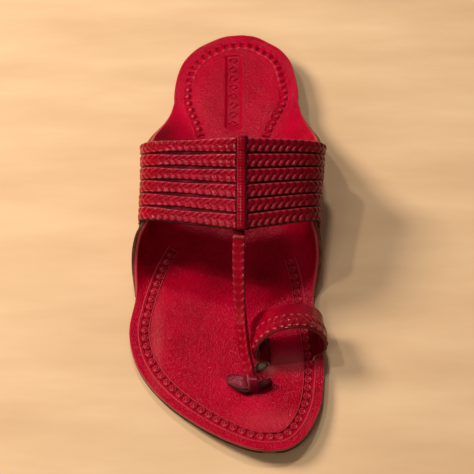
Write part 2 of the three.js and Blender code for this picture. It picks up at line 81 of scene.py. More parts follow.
LOOP_BRAID_FROM = 0.46
TIE_WIDTH = 7.6

# Stations as shares of the sole's length
HEEL_BREAST = 0.268
ARCH = (0.264, 0.543)
SPRING_START = 0.829
EAR_ENDS = (0.215, 0.65)
BAND_END = (0.359, 0.534)
BAND_CROWN = (0.416, 0.603)
LOOP_AT = 0.782 * SOLE_LENGTH
KNOT_AT = 0.851 * SOLE_LENGTH

# Share of the length, then lateral and medial half widths as shares of the ball width
OUTLINE_ROWS = [
    (0, -0.009, 0.047), (0.0043, 0.075, 0.108), (0.0229, 0.172, 0.189), (0.0396, 0.234, 0.247),
    (0.0732, 0.301, 0.304), (0.1071, 0.333, 0.326), (0.1536, 0.351, 0.344), (0.1857, 0.351, 0.342),
    (0.2214, 0.326, 0.308), (0.2821, 0.274, 0.239), (0.3643, 0.251, 0.217), (0.4357, 0.288, 0.245),
    (0.5071, 0.373, 0.305), (0.55, 0.434, 0.347), (0.5964, 0.481, 0.379), (0.6679, 0.532, 0.402),
    (0.7357, 0.557, 0.43), (0.7964, 0.526, 0.446), (0.8429, 0.466, 0.441), (0.8946, 0.353, 0.425),
    (0.9357, 0.222, 0.389), (0.9625, 0.118, 0.351), (0.9839, 0.014, 0.302), (0.9975, -0.08, 0.241),
    (1, -0.127, 0.193),
]

# Share of the length, then each wing's spread (shares of the ball width) and rise (shares of its height)
WING_ROWS = [
    (0.186, 0, 0, 0, 0), (0.204, 0.021, 0.015, 0.025, 0.015), (0.221, 0.044, 0.056, 0.052, 0.056),
    (0.246, 0.086, 0.148, 0.099, 0.148), (0.271, 0.131, 0.278, 0.145, 0.278),
    (0.296, 0.168, 0.426, 0.181, 0.426), (0.321, 0.193, 0.593, 0.2, 0.593),
    (0.346, 0.203, 0.778, 0.202, 0.778), (0.371, 0.202, 0.926, 0.195, 0.926),
    (0.418, 0.18, 1, 0.169, 1), (0.471, 0.128, 1, 0.117, 1), (0.511, 0.077, 0.981, 0.071, 0.981),
    (0.536, 0.047, 0.926, 0.049, 0.907), (0.554, 0.054, 0.796, 0.05, 0.778),
    (0.571, 0.054, 0.593, 0.047, 0.574), (0.589, 0.046, 0.389, 0.038, 0.389),
    (0.611, 0.032, 0.204, 0.022, 0.222), (0.636, 0.014, 0.074, 0.008, 0.074),
    (0.661, 0.002, 0.015, 0.001, 0.015), (0.679, 0, 0, 0, 0),
]

# Share along from the band to the knot, offset across, height as a share of the front crown, turn in degrees
STRAP_ROWS = [
    (0.02, 0.009, 0.982, 0), (0.08, 0.008, 0.93, 1), (0.15, 0.006, 0.868, 4), (0.31, 0.005, 0.695, 16),
    (0.51, 0.008, 0.5, 40), (0.68, 0.021, 0.332, 58), (0.82, 0.034, 0.209, 60), (0.93, 0.05, 0.146, 48),
]

# Share of the toe loop's span and share of its height
LOOP_ROWS = [
    (0.2, 0.03), (0.18, 0.11), (0.115, 0.155), (0.045, 0.2), (0, 0.4), (0.06, 0.68), (0.25, 0.93), (0.5, 1),
    (0.75, 0.93), (0.94, 0.68), (1, 0.4), (0.965, 0.2), (0.905, 0.155), (0.85, 0.11), (0.83, 0.03),
]

SIDES = {"lateral": -1.0, "medial": 1.0}
LEAST_BEND = 1e-4


def blend(t, start, end, first, last):
    return (end - t) / (end - start) * first + (t - start) / (end - start) * last


def smooth_rows(rows, per_span=40):
    """Smooth curve through rows of numbers, in the centripetal form."""
    points = np.array(rows, float)
    padded = np.vstack([2 * points[0] - points[1], points, 2 * points[-1] - points[-2]])
    samples = []
    share = np.arange(per_span)[:, None] / per_span
    for i in range(1, len(padded) - 2):
        p0, p1, p2, p3 = padded[i - 1:i + 3]
        spans = ((p0, p1), (p1, p2), (p2, p3))
        k0, k1, k2, k3 = np.cumsum([0] + [max(np.linalg.norm(b - a), 1e-6) ** 0.5 for a, b in spans])
        t = k1 + (k2 - k1) * share
        a1 = blend(t, k0, k1, p0, p1)
        a2 = blend(t, k1, k2, p1, p2)
        a3 = blend(t, k2, k3, p2, p3)
        samples.append(blend(t, k1, k2, blend(t, k0, k2, a1, a2), blend(t, k1, k3, a2, a3)))
    samples.append(points[-1:])
    return np.vstack(samples)


def unit(vectors):
    return vectors / np.linalg.norm(vectors, axis=-1, keepdims=True)


def path_lengths(points):
    """Length along a path, from its start to each of its points."""
    return np.concatenate([[0], np.cumsum(np.linalg.norm(np.diff(points, axis=0), axis=1))])


def at_lengths(points, lengths, marks):
    return np.stack([np.interp(marks, lengths, column) for column in points.T], -1)


def bell(value, middle, width):
    return np.exp(-((value - middle) / width) ** 2)


def mix(low, high, share):
    return low + (high - low) * share


def smoothstep(low, high, value):
    share = np.clip((value - low) / (high - low), 0, 1)
    return share * share * (3 - 2 * share)


outline = {}
wings = {}
for column, side in enumerate(SIDES):
    outline[side] = smooth_rows([(r[0] * SOLE_LENGTH, r[1 + column] * BALL_WIDTH) for r in OUTLINE_ROWS])
    spread, rise = 1 + 2 * column, 2 + 2 * column
    wings[side] = smooth_rows([
        (r[0] * SOLE_LENGTH, r[spread] * BALL_WIDTH, r[rise] * WING_HEIGHT) for r in WING_ROWS
    ])


def edge(side, station):
    return np.interp(station, outline[side][:, 0], outline[side][:, 1])


def seat(station):
    share = np.asarray(station, float) / SOLE_LENGTH
    lifted = HEEL_LIFT * (1 - smoothstep(*ARCH, share))
    sprung = np.maximum(0, (share - SPRING_START) / (1 - SPRING_START))
    return OUTSOLE + lifted + TOE_SPRING * sprung * sprung


def footbed(station):
    return seat(station) + CLEARANCE + INSOLE


def own_side(across, sign):
    return (across < 0) if sign < 0 else (across >= 0)


def profile(side, station):
    """A wing's cross-section: flat to the fold, a round curve, then straight on along its own end."""
    rim = edge(side, station)
    width = edge("lateral", station) + edge("medial", station)
    fold = rim - np.minimum(WING_FOLD_INSET, width / 4)
    samples = wings[side]
    spread = np.maximum(0, np.interp(station, samples[:, 0], samples[:, 1]))
    rise = np.maximum(0, np.interp(station, samples[:, 0], samples[:, 2]))
    reach = rim + spread - fold
    bend = np.clip(2 * np.arctan2(rise, reach), LEAST_BEND, math.pi / 2)
    radius = reach / np.sin(bend)
    arc = radius * bend
    return fold, bend, radius, arc, arc + np.maximum(0, rise - reach)


def wing(side, station, length, drop):
    """Points at a length from the fold along the wing's inner face, dropped outward from it."""
    fold, bend, radius, arc, _ = profile(side, station)
    turned = np.clip(length, 0, arc) / radius
    beyond = np.maximum(0, length - arc)
    across = fold + radius * np.sin(turned) + np.minimum(0, length) + beyond * np.cos(bend)
    height = radius * (1 - np.cos(turned)) + beyond * np.sin(bend)
    across = across + drop * np.sin(turned)
    height = height - drop * np.cos(turned)
    station = station + 0 * across
    return np.stack([SIDES[side] * across, station, footbed(station) + height], -1)


# Instep band: course runs -2 to 2 across the foot, depth 0 to 1 from its rear edge to its front edge
BAND_DROP = INSOLE + CLEARANCE + EAR + BAND_CLEARANCE
BAND_LAP = 0.5
ARCH_FULLNESS = 0.66
ARCH_LEAN = 0.4
NEAR_LIP = 0.98
NUDGE = 0.001


def bezier(t, start, first, second, end):
    return (1 - t) ** 3 * start + 3 * (1 - t) ** 2 * t * first + 3 * (1 - t) * t * t * second + t ** 3 * end


def band_surface(course, depth):
    course, depth = np.broadcast_arrays(np.asarray(course, float), np.asarray(depth, float))
    result = np.zeros(course.shape + (3,))
    end_station = mix(*BAND_END, depth) * SOLE_LENGTH
    crown_station = mix(*BAND_CROWN, depth) * SOLE_LENGTH
    crown_height = footbed(crown_station) + mix(CROWN_REAR, CROWN_FRONT, depth)
    away = np.abs(course)
    for side, sign in SIDES.items():
        full = profile(side, end_station)[4]
        lapped = wing(side, end_station, full * (1 - (away - 1) * (1 - BAND_LAP)), BAND_DROP)
        start = wing(side, end_station, full, BAND_DROP)
        before = wing(side, end_station, full * NEAR_LIP, BAND_DROP)
        tx, tz = start[..., 0] - before[..., 0], start[..., 2] - before[..., 2]
        size = np.hypot(tx, tz)
        climb = crown_height - start[..., 2]
        span = np.abs(RIDGE_OFFSET - start[..., 0])
        high_x = start[..., 0] + tx / size * ARCH_FULLNESS * climb
        high_z = start[..., 2] + tz / size * ARCH_FULLNESS * climb
        low_x = RIDGE_OFFSET + sign * ARCH_FULLNESS * span
        low_z = crown_height - RIDGE_PITCH * ARCH_FULLNESS * span
        x = bezier(1 - away, start[..., 0], high_x, low_x, RIDGE_OFFSET)
        z = bezier(1 - away, start[..., 2], high_z, low_z, crown_height)
        climbed = (z - start[..., 2]) / climb
        crossed = np.abs(x - start[..., 0]) / span
        lean = mix(crossed, climbed, 1 - ARCH_LEAN * depth)
        arched = np.stack([x, mix(end_station, crown_station, lean), z], -1)
        chosen = np.where((away >= 1)[..., None], lapped, arched)
        mine = own_side(course, sign)
        result[mine] = chosen[mine]
    return result


def band_point(course, depth, lift):
    """A point over the band's inner face, along that face's own normal."""
    course, depth, lift = np.broadcast_arrays(*(np.asarray(v, float) for v in (course, depth, lift)))
    near = np.abs(course) < 2 * NUDGE
    centre = np.where(near, 2 * NUDGE * np.where(course < 0, -1, 1), course)
    along = band_surface(centre + NUDGE, depth) - band_surface(centre - NUDGE, depth)
    fore = band_surface(centre, depth + NUDGE) - band_surface(centre, depth - NUDGE)
    normal = np.cross(along, fore)
    normal[near, 0] = 0
    normal = unit(normal)
    flip = np.where(normal[..., 2:3] + 0.5 * normal[..., 0:1] * np.sign(course)[..., None] < 0, -1, 1)
    return band_surface(course, depth) + normal * flip * lift[..., None]


# Toe strap's end by the knot: station from the knot, its top face's height over the footbed, turn in degrees
STRAP_END_ROWS = [(-1.2, 4.7, 24), (2.0, 3.2, 0), (3.6, 0.8, 0), (3.9, -1.0, 0)]
STRAP_END_SHIFT = 0.4
SLIT_LAP = 0.4
SLIT_AT = KNOT_AT + TIE_WIDTH / 2 + CLEARANCE + STRAP_THICKNESS / 2 - SLIT_LAP
# Depth in the band and lift of the strap's root, then of the point where it leaves the band
STRAP_ROOT = ((0.86, -1.0), (1, -0.5))


def strap_path():
    """Points of the strap's top face and its turn in degrees: out from under the band, down to the knot."""
    under, rim = (band_point(0, depth, lift) for depth, lift in STRAP_ROOT)
    start = STRAP_ROWS[0][1] * BALL_WIDTH
    rows = [(start, *under[1:], 0), (start, *rim[1:], 0)]
    for along, across, height, turn in STRAP_ROWS[1:]:
        station = mix(rim[1], KNOT_AT, along)
        rows.append((across * BALL_WIDTH, station, float(footbed(station)) + height * CROWN_FRONT, turn))
    end = STRAP_ROWS[-1][1] * BALL_WIDTH
    for beyond, height, turn in STRAP_END_ROWS:
        station = KNOT_AT + beyond
        rows.append((end + STRAP_END_SHIFT, station, float(footbed(station)) + height, turn))
    return np.array(rows)


# Toe loop: t runs along the strip from its lateral foot, width from its rear edge to its front edge
LOOP_LATERAL = float(edge("medial", LOOP_AT)) - LOOP_SPAN - LOOP_INSET
loop_middle = [(LOOP_LATERAL + a * LOOP_SPAN, h * LOOP_HEIGHT) for a, h in LOOP_ROWS]
loop_feet = [(loop_middle[end][0], -INSOLE + CLEARANCE) for end in (0, -1)]
loop_curve = smooth_rows([loop_feet[0], *loop_middle, loop_feet[1]])


def loop_point(t, width, lift):
    """A point over the loop's inner face."""
    t, width, lift = np.broadcast_arrays(*(np.asarray(v, float) for v in (t, width, lift)))
    shares = np.linspace(0, 1, len(loop_curve))
    x = np.interp(t, shares, loop_curve[:, 0])
    h = np.interp(t, shares, loop_curve[:, 1])
    slopes = np.gradient(loop_curve, axis=0)
    tx = np.interp(t, shares, slopes[:, 0])
    th = np.interp(t, shares, slopes[:, 1])
    size = np.hypot(tx, th)
    raised = np.clip(h / LOOP_HEIGHT, 0, 1)
    skew = LOOP_SKEW * np.clip((x - LOOP_LATERAL) / LOOP_SPAN, 0, 1)
    station = LOOP_AT - skew - LOOP_SWEEP * raised + (width - 0.5) * LOOP_WIDTH
    across = x + (width - 0.5) * LOOP_DRIFT - th / size * lift
    height = h + tx / size * lift - (1 - width) * LOOP_LEAN * raised
    return np.stack([across, station, footbed(station) + height], -1)


# Places in the row frame: the solids' own box says where the sole's axis and heel are
sole_low, sole_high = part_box("outsole")
SHIFT_X = sole_low[0] * 1000 + float(outline["lateral"][:, 1].max())
SHIFT_Y = sole_high[1] * 1000


def to_frame(points):
    points = np.asarray(points, float)
    return np.stack([points[..., 0] + SHIFT_X, SHIFT_Y - points[..., 1], points[..., 2]], -1) / 1000


# Meshes
def ladder(ring):
    """Triangles that close a ring between its two long sides."""
    faces = []
    i, j = 0, len(ring) - 1
    while j - i > 1:
        ahead = np.linalg.norm(ring[i + 1] - ring[j])
        behind = np.linalg.norm(ring[i] - ring[j - 1])
        if ahead <= behind:
            faces.append((i, i + 1, j))
            i += 1
        else:
            faces.append((i, j - 1, j))
            j -= 1
    return faces


def add_object(name, points, faces, materials, indices=None, sharp=50, paint=None):
    mesh = bpy.data.meshes.new(name)
    mesh.from_pydata(to_frame(points).tolist(), [], faces)
    for material in materials:
        mesh.materials.append(material)
    if indices is not None:
        mesh.polygons.foreach_set("material_index", indices)
    for key, values in (paint or {}).items():
        layer = mesh.attributes.new(key, "FLOAT", "POINT")
        layer.data.foreach_set("value", np.clip(np.asarray(values, float).ravel(), 0, 1))
    mesh.shade_smooth()
    mesh.set_sharp_from_angle(angle=math.radians(sharp))
    obj = bpy.data.objects.new(name, mesh)
    bpy.context.scene.collection.objects.link(obj)
    return obj


def signed_volume(points, faces):
    """Six times the volume that faces of three or four points enclose, above zero when they look outward."""
    quads = np.array([f if len(f) == 4 else (*f, f[2]) for f in faces])
    a, b, c, d = (points[quads[:, k]] for k in range(4))
    return np.einsum("ij,ij->", a, np.cross(b, c)) + np.einsum("ij,ij->", a, np.cross(c, d))


def loft(name, rings, materials, edge_at=(), sharp=50, paint=None):
    """Closed mesh through rings of points; the quads at edge_at and both ends take the last material."""
    rings = np.asarray(rings, float)
    rows, count, _ = rings.shape
    i, j = np.meshgrid(np.arange(rows - 1), np.arange(count), indexing="ij")
    a = i * count + j
    b = i * count + (j + 1) % count
    faces = np.stack([a, b, b + count, a + count], -1).reshape(-1, 4).tolist()
    columns = np.zeros(count, int)
    columns[list(edge_at)] = 1
    indices = np.tile(columns, rows - 1).tolist()
    last = (rows - 1) * count
    ends = [(p, r, q) for p, q, r in ladder(rings[0])]
    ends += [(last + p, last + q, last + r) for p, q, r in ladder(rings[-1])]
    faces += ends
    indices += [len(materials) - 1] * len(ends)
    points = rings.reshape(-1, 3)
    mirrored = np.stack([points[:, 0], -points[:, 1], points[:, 2]], -1)
    if signed_volume(mirrored, faces) < 0:
        faces = [tuple(reversed(face)) for face in faces]
    return add_object(name, points, faces, materials, indices, sharp, paint)


def join_parts(name, parts, materials, sharp=50):
    """One mesh from many small closed ones, each given as points and faces."""
    points = []
    faces = []
    for part_points, part_faces in parts:
        start = len(points)
        points.extend(part_points)
        faces.extend([tuple(start + k for k in face) for face in part_faces])
    return add_object(name, np.array(points), faces, materials, None, sharp)


# Materials
def new_material(name):
    material = bpy.data.materials.new(name)
    material.use_nodes = True
    tree = material.node_tree
    shader = tree.nodes["Principled BSDF"]
    return material, tree, shader


def feed(tree, node, inputs):
    """Gives a node's inputs their values: a socket is linked, anything else is set."""
    for key, value in inputs.items():
        if isinstance(value, bpy.types.NodeSocket):
            tree.links.new(value, node.inputs[key])
        else:
            node.inputs[key].default_value = value


def add_node(tree, kind, output, inputs=None, **settings):
    """Output socket of a new shader node."""
    node = tree.nodes.new("ShaderNode" + kind)
    for key, value in settings.items():
        setattr(node, key, value)
    feed(tree, node, inputs or {})
    return node.outputs[output]


def noise(tree, scale, vector, detail, roughness=0.5, output="Fac"):
    sockets = {"Scale": scale, "Vector": vector, "Detail": detail, "Roughness": roughness}
    return add_node(tree, "TexNoise", output, sockets)


def calculate(tree, operation, *values, clamp=False):
    return add_node(tree, "Math", "Value", dict(enumerate(values)), operation=operation, use_clamp=clamp)


def map_range(tree, value, low, high, to_low, to_high):
    sockets = {"Value": value, "From Min": low, "From Max": high, "To Min": to_low, "To Max": to_high}
    return add_node(tree, "MapRange", "Result", sockets)


def ramp(tree, source, stops):
    node = tree.nodes.new("ShaderNodeValToRGB")
    elements = node.color_ramp.elements
    while len(elements) < len(stops):
        elements.new(0.5)
    for element, (place, colour) in zip(elements, stops):
        element.position = place
        element.color = (*colour, 1)
    feed(tree, node, {"Fac": source})
    return node.outputs["Color"]


def bump(tree, height, strength, distance, before=None):
    sockets = {"Strength": strength, "Distance": distance, "Height": height}
    if before is not None:
        sockets["Normal"] = before
    return add_node(tree, "Bump", "Normal", sockets)


def mix_colour(tree, first, second, share, blend_type="MIX"):
    """Mixes two colours, each a socket or three numbers, by a socket or a number."""
    first, second = (v if isinstance(v, bpy.types.NodeSocket) else (*v, 1) for v in (first, second))
    sockets = {"Factor": share, 6: first, 7: second}
    return add_node(tree, "Mix", 2, sockets, data_type="RGBA", blend_type=blend_type)


BREAK_UP = (0.6, 1.25)


def painted(tree, key, broken_by, strength):
    """A painted value of the mesh, broken up by noise."""
    layer = add_node(tree, "Attribute", "Fac", attribute_name=key)
    low, high = (strength * share for share in BREAK_UP)
    broken = map_range(tree, broken_by, 0.25, 0.75, low, high)
    return calculate(tree, "MULTIPLY", layer, broken, clamp=True)


MOTTLE_SCALE = 34
WARP_SCALE = 420
WARP_REACH = 0.0016
GLOSS_SCALE = 160
PORES_PER_PEBBLE = 2.4


def leather(
    name, dark, base, light, roughness=(0.34, 0.5), grain=0.0003, grain_scale=950, specular=0.17,
    painted_shade=(0.035, 0.0, 0.002), wear_and_highlight=(0.68, 0.13, 0.13), tint=(1.0, 0.42, 0.46), pressed=None,
):
    """Dyed leather: a mottled colour and a pebbled grain with fine pores, with painted shade in the grain's
    pits and where the mesh is painted dark, and wear and painted highlights where the mesh is painted light.

    pressed gives two places along the sandal, and the grain's strength at each.
    """
    material, tree, shader = new_material(name)
    place = add_node(tree, "TexCoord", "Object")
    mottle = noise(tree, MOTTLE_SCALE, place, 5.0, 0.62)
    pores = noise(tree, grain_scale * PORES_PER_PEBBLE, place, 3.0, 0.7)
    gloss = noise(tree, GLOSS_SCALE, place, 4.0, 0.6)
    warp = noise(tree, WARP_SCALE, place, 2.0, output="Color")
    warped = {0: warp, 1: (WARP_REACH, WARP_REACH, WARP_REACH), 2: place}
    bent = add_node(tree, "VectorMath", "Vector", warped, operation="MULTIPLY_ADD")
    voronoi = {"Scale": grain_scale, "Vector": bent}
    pebbles = add_node(tree, "TexVoronoi", "Distance", voronoi, feature="SMOOTH_F1")
    colour = ramp(tree, mottle, [(0.3, dark), (0.52, base), (0.74, light)])
    # Painted shade in the pits of the pebbled grain
    valley_shade = ramp(tree, pebbles, [(0.25, (1, 1, 1)), (0.8, (0.5, 0.45, 0.45))])
    colour = mix_colour(tree, colour, valley_shade, 0.6, "MULTIPLY")
    # Wear and painted highlights: lightened toward a pale pink where the mesh is painted so
    colour = mix_colour(tree, colour, wear_and_highlight, painted(tree, "wear_and_highlight", pores, 0.7))
    # Painted shade: darkened toward a near-black crimson where the mesh is painted so
    colour = mix_colour(tree, colour, painted_shade, painted(tree, "painted_shade", gloss, 1.0))
    strength = 0.85
    if pressed:
        along = add_node(tree, "SeparateXYZ", "Y", {"Vector": place})
        strength = map_range(tree, along, *pressed)
    coarse = bump(tree, calculate(tree, "SUBTRACT", 1.0, pebbles), strength, grain)
    feed(tree, shader, {
        "Base Color": colour,
        "Roughness": map_range(tree, gloss, 0.3, 0.7, *roughness),
        "Normal": bump(tree, pores, 0.3, grain * 0.3, coarse),
        "Specular IOR Level": specular,
        "Specular Tint": (*tint, 1),
    })
    return material


RAW_FIBRE = (0.36, 0.23, 0.16)
FIBRE_STRETCH = (0.12, 0.12, 1.0)
PATCH_SCALE = 70
PATCH_SHARE = 0.4


def edge_leather(name, dark, base, light, layers=700):
    """Cut and burnished edge of leather: fibres in fine layers along the sole."""
    material, tree, shader = new_material(name)
    place = add_node(tree, "TexCoord", "Object")
    stretched = add_node(tree, "Mapping", "Vector", {"Vector": place, "Scale": FIBRE_STRETCH})
    fibres = noise(tree, layers, stretched, 6.0, 0.7)
    patches = noise(tree, PATCH_SCALE, place, 3.0)
    patched = calculate(tree, "MULTIPLY", patches, PATCH_SHARE)
    mixed = calculate(tree, "MULTIPLY_ADD", fibres, 1 - PATCH_SHARE, patched)
    colour = ramp(tree, mixed, [(0.32, dark), (0.5, base), (0.7, light)])
    feed(tree, shader, {
        "Base Color": mix_colour(tree, colour, RAW_FIBRE, painted(tree, "wear_and_highlight", patches, 0.8)),
        "Normal": bump(tree, fibres, 0.6, 0.0001),
        "Roughness": 0.7,
        "Specular IOR Level": 0.1,
    })
    return material


SMOOTH = dict(grain=0.00003, grain_scale=1300)
CRIMSON = dict(dark=(0.26, 0.0, 0.008), base=(0.36, 0.0002, 0.014), light=(0.45, 0.001, 0.022))
footbed_leather = leather(
    "footbed_leather", **CRIMSON, roughness=(0.17, 0.28), grain=0.00046, grain_scale=1250, specular=0.2,
    tint=(1.0, 0.25, 0.3), pressed=(-0.02, 0.09, 0.85, 0.3),
)
wing_leather = leather("wing_leather", **CRIMSON, grain=0.0001, specular=0.1)
# The insole's cut side: a lighter, pinker crimson along the wings' lips for a painted highlight on the
# rounded rim, raw leather brown elsewhere
lip_leather_painted_highlight = leather(
    "lip_leather_painted_highlight", (0.26, 0.004, 0.014), (0.42, 0.03, 0.04), (0.55, 0.09, 0.09), grain=0.0001,
    wear_and_highlight=(0.30, 0.16, 0.11), tint=(1.0, 0.6, 0.6),
)
braid_leather = leather(
    "braid_leather", (0.16, 0.0, 0.003), (0.26, 0.0002, 0.008), (0.36, 0.001, 0.015),
    roughness=(0.12, 0.22), specular=0.4, wear_and_highlight=(0.54, 0.085, 0.085), **SMOOTH,
)
# A darker, rougher copy of braid_leather: painted shade for the medial strips, which stand in shadow
shaded_braid_leather = leather(
    "shaded_braid_leather", (0.15, 0.0, 0.003), (0.23, 0.0002, 0.008), (0.32, 0.001, 0.014),
    roughness=(0.28, 0.4), specular=0.22, wear_and_highlight=(0.46, 0.08, 0.07), **SMOOTH,
)
loop_leather = leather(
    "loop_leather", (0.13, 0.0, 0.003), (0.22, 0.0003, 0.008), (0.32, 0.002, 0.014),
    roughness=(0.12, 0.22), specular=0.4, wear_and_highlight=(0.54, 0.15, 0.13), **SMOOTH,
)
strip_edge = edge_leather("strip_edge", (0.025, 0.004, 0.003), (0.06, 0.011, 0.008), (0.13, 0.035, 0.024))
ear_edge = edge_leather(
    "ear_edge", (0.045, 0.014, 0.006), (0.12, 0.045, 0.02), (0.24, 0.11, 0.05), layers=300,
)
sole_edge = edge_leather("sole_edge", (0.018, 0.005, 0.003), (0.05, 0.014, 0.009), (0.11, 0.036, 0.024))
rim_edge = edge_leather("rim_edge", (0.07, 0.022, 0.016), (0.17, 0.075, 0.055), (0.30, 0.17, 0.13))
raw_edge = edge_leather("raw_edge", (0.045, 0.015, 0.008), (0.11, 0.043, 0.024), (0.22, 0.11, 0.06))
tread_leather = leather(
    "tread_leather", (0.09, 0.038, 0.018), (0.18, 0.085, 0.042), (0.27, 0.15, 0.08),
    roughness=(0.55, 0.75), grain=0.0002, tint=(1.0, 0.8, 0.7),
)
tie_leather = leather(
    "tie_leather", (0.035, 0.0, 0.003), (0.085, 0.0005, 0.006), (0.17, 0.003, 0.012),
    roughness=(0.2, 0.35), grain=0.00012, specular=0.25, wear_and_highlight=(0.3, 0.11, 0.09),
)
tail_leather = leather(
    "tail_leather", (0.015, 0.001, 0.002), (0.04, 0.003, 0.004), (0.09, 0.012, 0.012),
    roughness=(0.3, 0.45), grain=0.00006, specular=0.06, tint=(1.0, 0.6, 0.6),
)


# Soft unevenness of a leather face, in millimetres: a few slow waves that never repeat on the sole
WAVES = [
    (0.110, 0.071, 0.4, 0.10), (-0.062, 0.128, 1.9, 0.08), (0.171, -0.093, 3.1, 0.05),
    (0.231, 0.187, 5.2, 0.035), (-0.297, 0.142, 0.9, 0.03), (0.405, -0.331, 2.2, 0.018),
]


def unevenness(across, station):
    total = 0
    for kx, ks, phase, size in WAVES:
        total = total + size * np.sin(kx * across + ks * station + phase)
    return total


def dress(piece, node=None):
    """Ties a piece to the one body and, where it stands for a solid, hides that solid's part."""
    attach(piece, "root")
    if node:
        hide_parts(node)


def eased_stations(count):
    """Stations from heel to toe, closer together at both ends."""
    return SOLE_LENGTH * (1 - np.cos(np.linspace(0, math.pi, count))) / 2


# Border of stamped rosettes: a path that keeps a distance to the sole's outline
PATH_SMOOTHINGS = 30


def outline_loop(count=900):
    """The sole's outline as a closed ring with outward normals, lateral side first, from the heel."""
    stations = eased_stations(count // 2)
    lateral = np.stack([-edge("lateral", stations), stations], -1)
    medial = np.stack([edge("medial", stations), stations], -1)[::-1]
    ring = np.vstack([lateral, medial])
    tangent = np.roll(ring, -1, 0) - np.roll(ring, 1, 0)
    normal = unit(np.stack([-tangent[:, 1], tangent[:, 0]], -1))
    middle = np.array([0, SOLE_LENGTH / 2])
    if np.einsum("ij,ij->", normal, ring - middle) < 0:
        normal = -normal
    return ring, normal


def even_path(points, step):
    """Points an even step apart along a path, with the path's direction at each."""
    lengths = path_lengths(points)
    count = max(2, int(round(lengths[-1] / step)) + 1)
    placed = at_lengths(points, lengths, np.linspace(0, lengths[-1], count))
    return placed, unit(np.gradient(placed, axis=0))


def inset_path(inset):
    """The outline moved in, then smoothed so that it has no kink where the outline is tight."""
    ring, normal = outline_loop()
    path = ring - normal * inset
    for _ in range(PATH_SMOOTHINGS):
        path = (np.roll(path, 1, 0) + 2 * path + np.roll(path, -1, 0)) / 4
    return path


def gap_to(points, path, chunks=60):
    """Distance from each point to the nearest point of a path, worked out a chunk at a time."""
    result = np.zeros(len(points))
    for chunk in np.array_split(np.arange(len(points)), chunks):
        gaps = points[chunk][:, None, :] - path[None, :, :]
        result[chunk] = np.sqrt((gaps ** 2).sum(-1)).min(1)
    return result


BORDER_INSET = 8.5
BORDER_STEP = 0.3
BORDER_IN = -3.0
BORDER_OUT = 4.3
BORDER_COLUMNS = 27
SIDE_FADE = 0.5
END_FADE = 1.5
SUNK_RIM = 0.12
TRENCH_DEPTH = 0.9
TRENCH_SIDE = (1.7, 2.5)
FRONT_PITCH = 5.1
HEEL_PITCH = 5.0
ROSETTE_RADIUS = 1.6
ROSETTE_BEADS = 8
CHANNEL_DEPTH = 0.55
CHANNEL_SIDE = (1.9, 2.3)
BEAD_MOAT_RADIUS = 2.15
HEEL_BORDER_TO = 77.0
BEADS_FROM_END = (33.0, 45.0)
FRONT_BORDER_FROM = (151.0, 157.0)
LINES_AT = (-2.35, 3.65)
LINE_TO_GROOVE = 0.55
BORDER_PROUD = 0.03
BORDER_UNDER = 0.3
# Height and half width of each raised or sunk form
DOME = (0.55, 1.7)
RING = (0.65, 0.42)
DOT = (0.65, 0.5)
LINE = (0.38, 0.24)
LINE_GROOVE = (-0.25, 0.3)
BEAD = (0.95, 1.25)
BEAD_MOAT = (-0.3, 0.5)
TAB = (0.42, 1.5)
TAB_TIP = (0.3, 1.3)
TAB_FURROW = (-0.1, 0.5)
NOTCH = (-0.7, 1.15)
# Places across the border where the notches start and end
NOTCH_STARTS = (-1.6, 0.4)
NOTCH_ENDS = (2.3, 3.1)


def footbed_point(across, station, lift):
    """A point over the footbed, which follows the wings past their folds."""
    across, station, lift = np.broadcast_arrays(*(np.asarray(v, float) for v in (across, station, lift)))
    result = np.zeros(across.shape + (3,))
    for side, sign in SIDES.items():
        mine = own_side(across, sign)
        length = np.abs(across[mine]) - profile(side, station[mine])[0]
        result[mine] = wing(side, station[mine], length, -lift[mine])
    return result


def from_stamp(u, pitch):
    """Distance along the border from the nearest stamp's middle."""
    return (u / pitch - np.round(u / pitch)) * pitch


def form(size, value, middle=0):
    height, half_width = size
    return height * bell(value, middle, half_width)


def front_relief(u, v):
    """Rosettes in a shallow channel between two fine lines: each a domed, beaded ring round a dot."""
    du = from_stamp(u, FRONT_PITCH)
    radius = np.hypot(du, v)
    angle = np.arctan2(v, du)
    channel = -CHANNEL_DEPTH * (1 - smoothstep(*CHANNEL_SIDE, np.abs(v)))
    ring = form(RING, radius, ROSETTE_RADIUS) * (0.7 + 0.3 * np.cos(ROSETTE_BEADS * angle))
    dot = form(DOT, radius)
    crest_highlight = bell(np.hypot(du - 0.4, v - 1.0), 0, 0.6)
    lines = sum(form(LINE, v, at) + form(LINE_GROOVE, v, at + LINE_TO_GROOVE) for at in LINES_AT)
    # Painted shade in the channel and in the groove by the outer line; painted highlights on the rings, dots,
    # lines and each rosette's crest
    painted_shade = 0.36 * np.clip(-channel * 1.8 - 2 * ring - 2 * dot, 0, 1)
    painted_shade = painted_shade + 0.25 * bell(v, LINES_AT[1] + LINE_TO_GROOVE, 0.25)
    wear_and_highlight = 0.75 * np.clip(2 * ring + 2 * dot - 0.5, 0, 1) + 0.6 * sum(bell(v, at, 0.25) for at in LINES_AT)
    relief = channel + form(DOME, radius) + ring + dot + lines
    return relief, painted_shade, np.clip(wear_and_highlight + 0.8 * crest_highlight, 0, 1)


def bead_relief(u, v):
    """Round beads, each in a ring of painted shade, with a painted highlight on the rim side of its crest."""
    du = from_stamp(u, HEEL_PITCH)
    radius = np.hypot(du, v - 0.2)
    crest_highlight = bell(np.hypot(du - 0.3, v - 0.7), 0, 0.55)
    relief = form(BEAD, radius) + form(BEAD_MOAT, radius, BEAD_MOAT_RADIUS)
    return relief, 0.5 * bell(radius, BEAD_MOAT_RADIUS, BEAD_MOAT[1]), 0.9 * crest_highlight


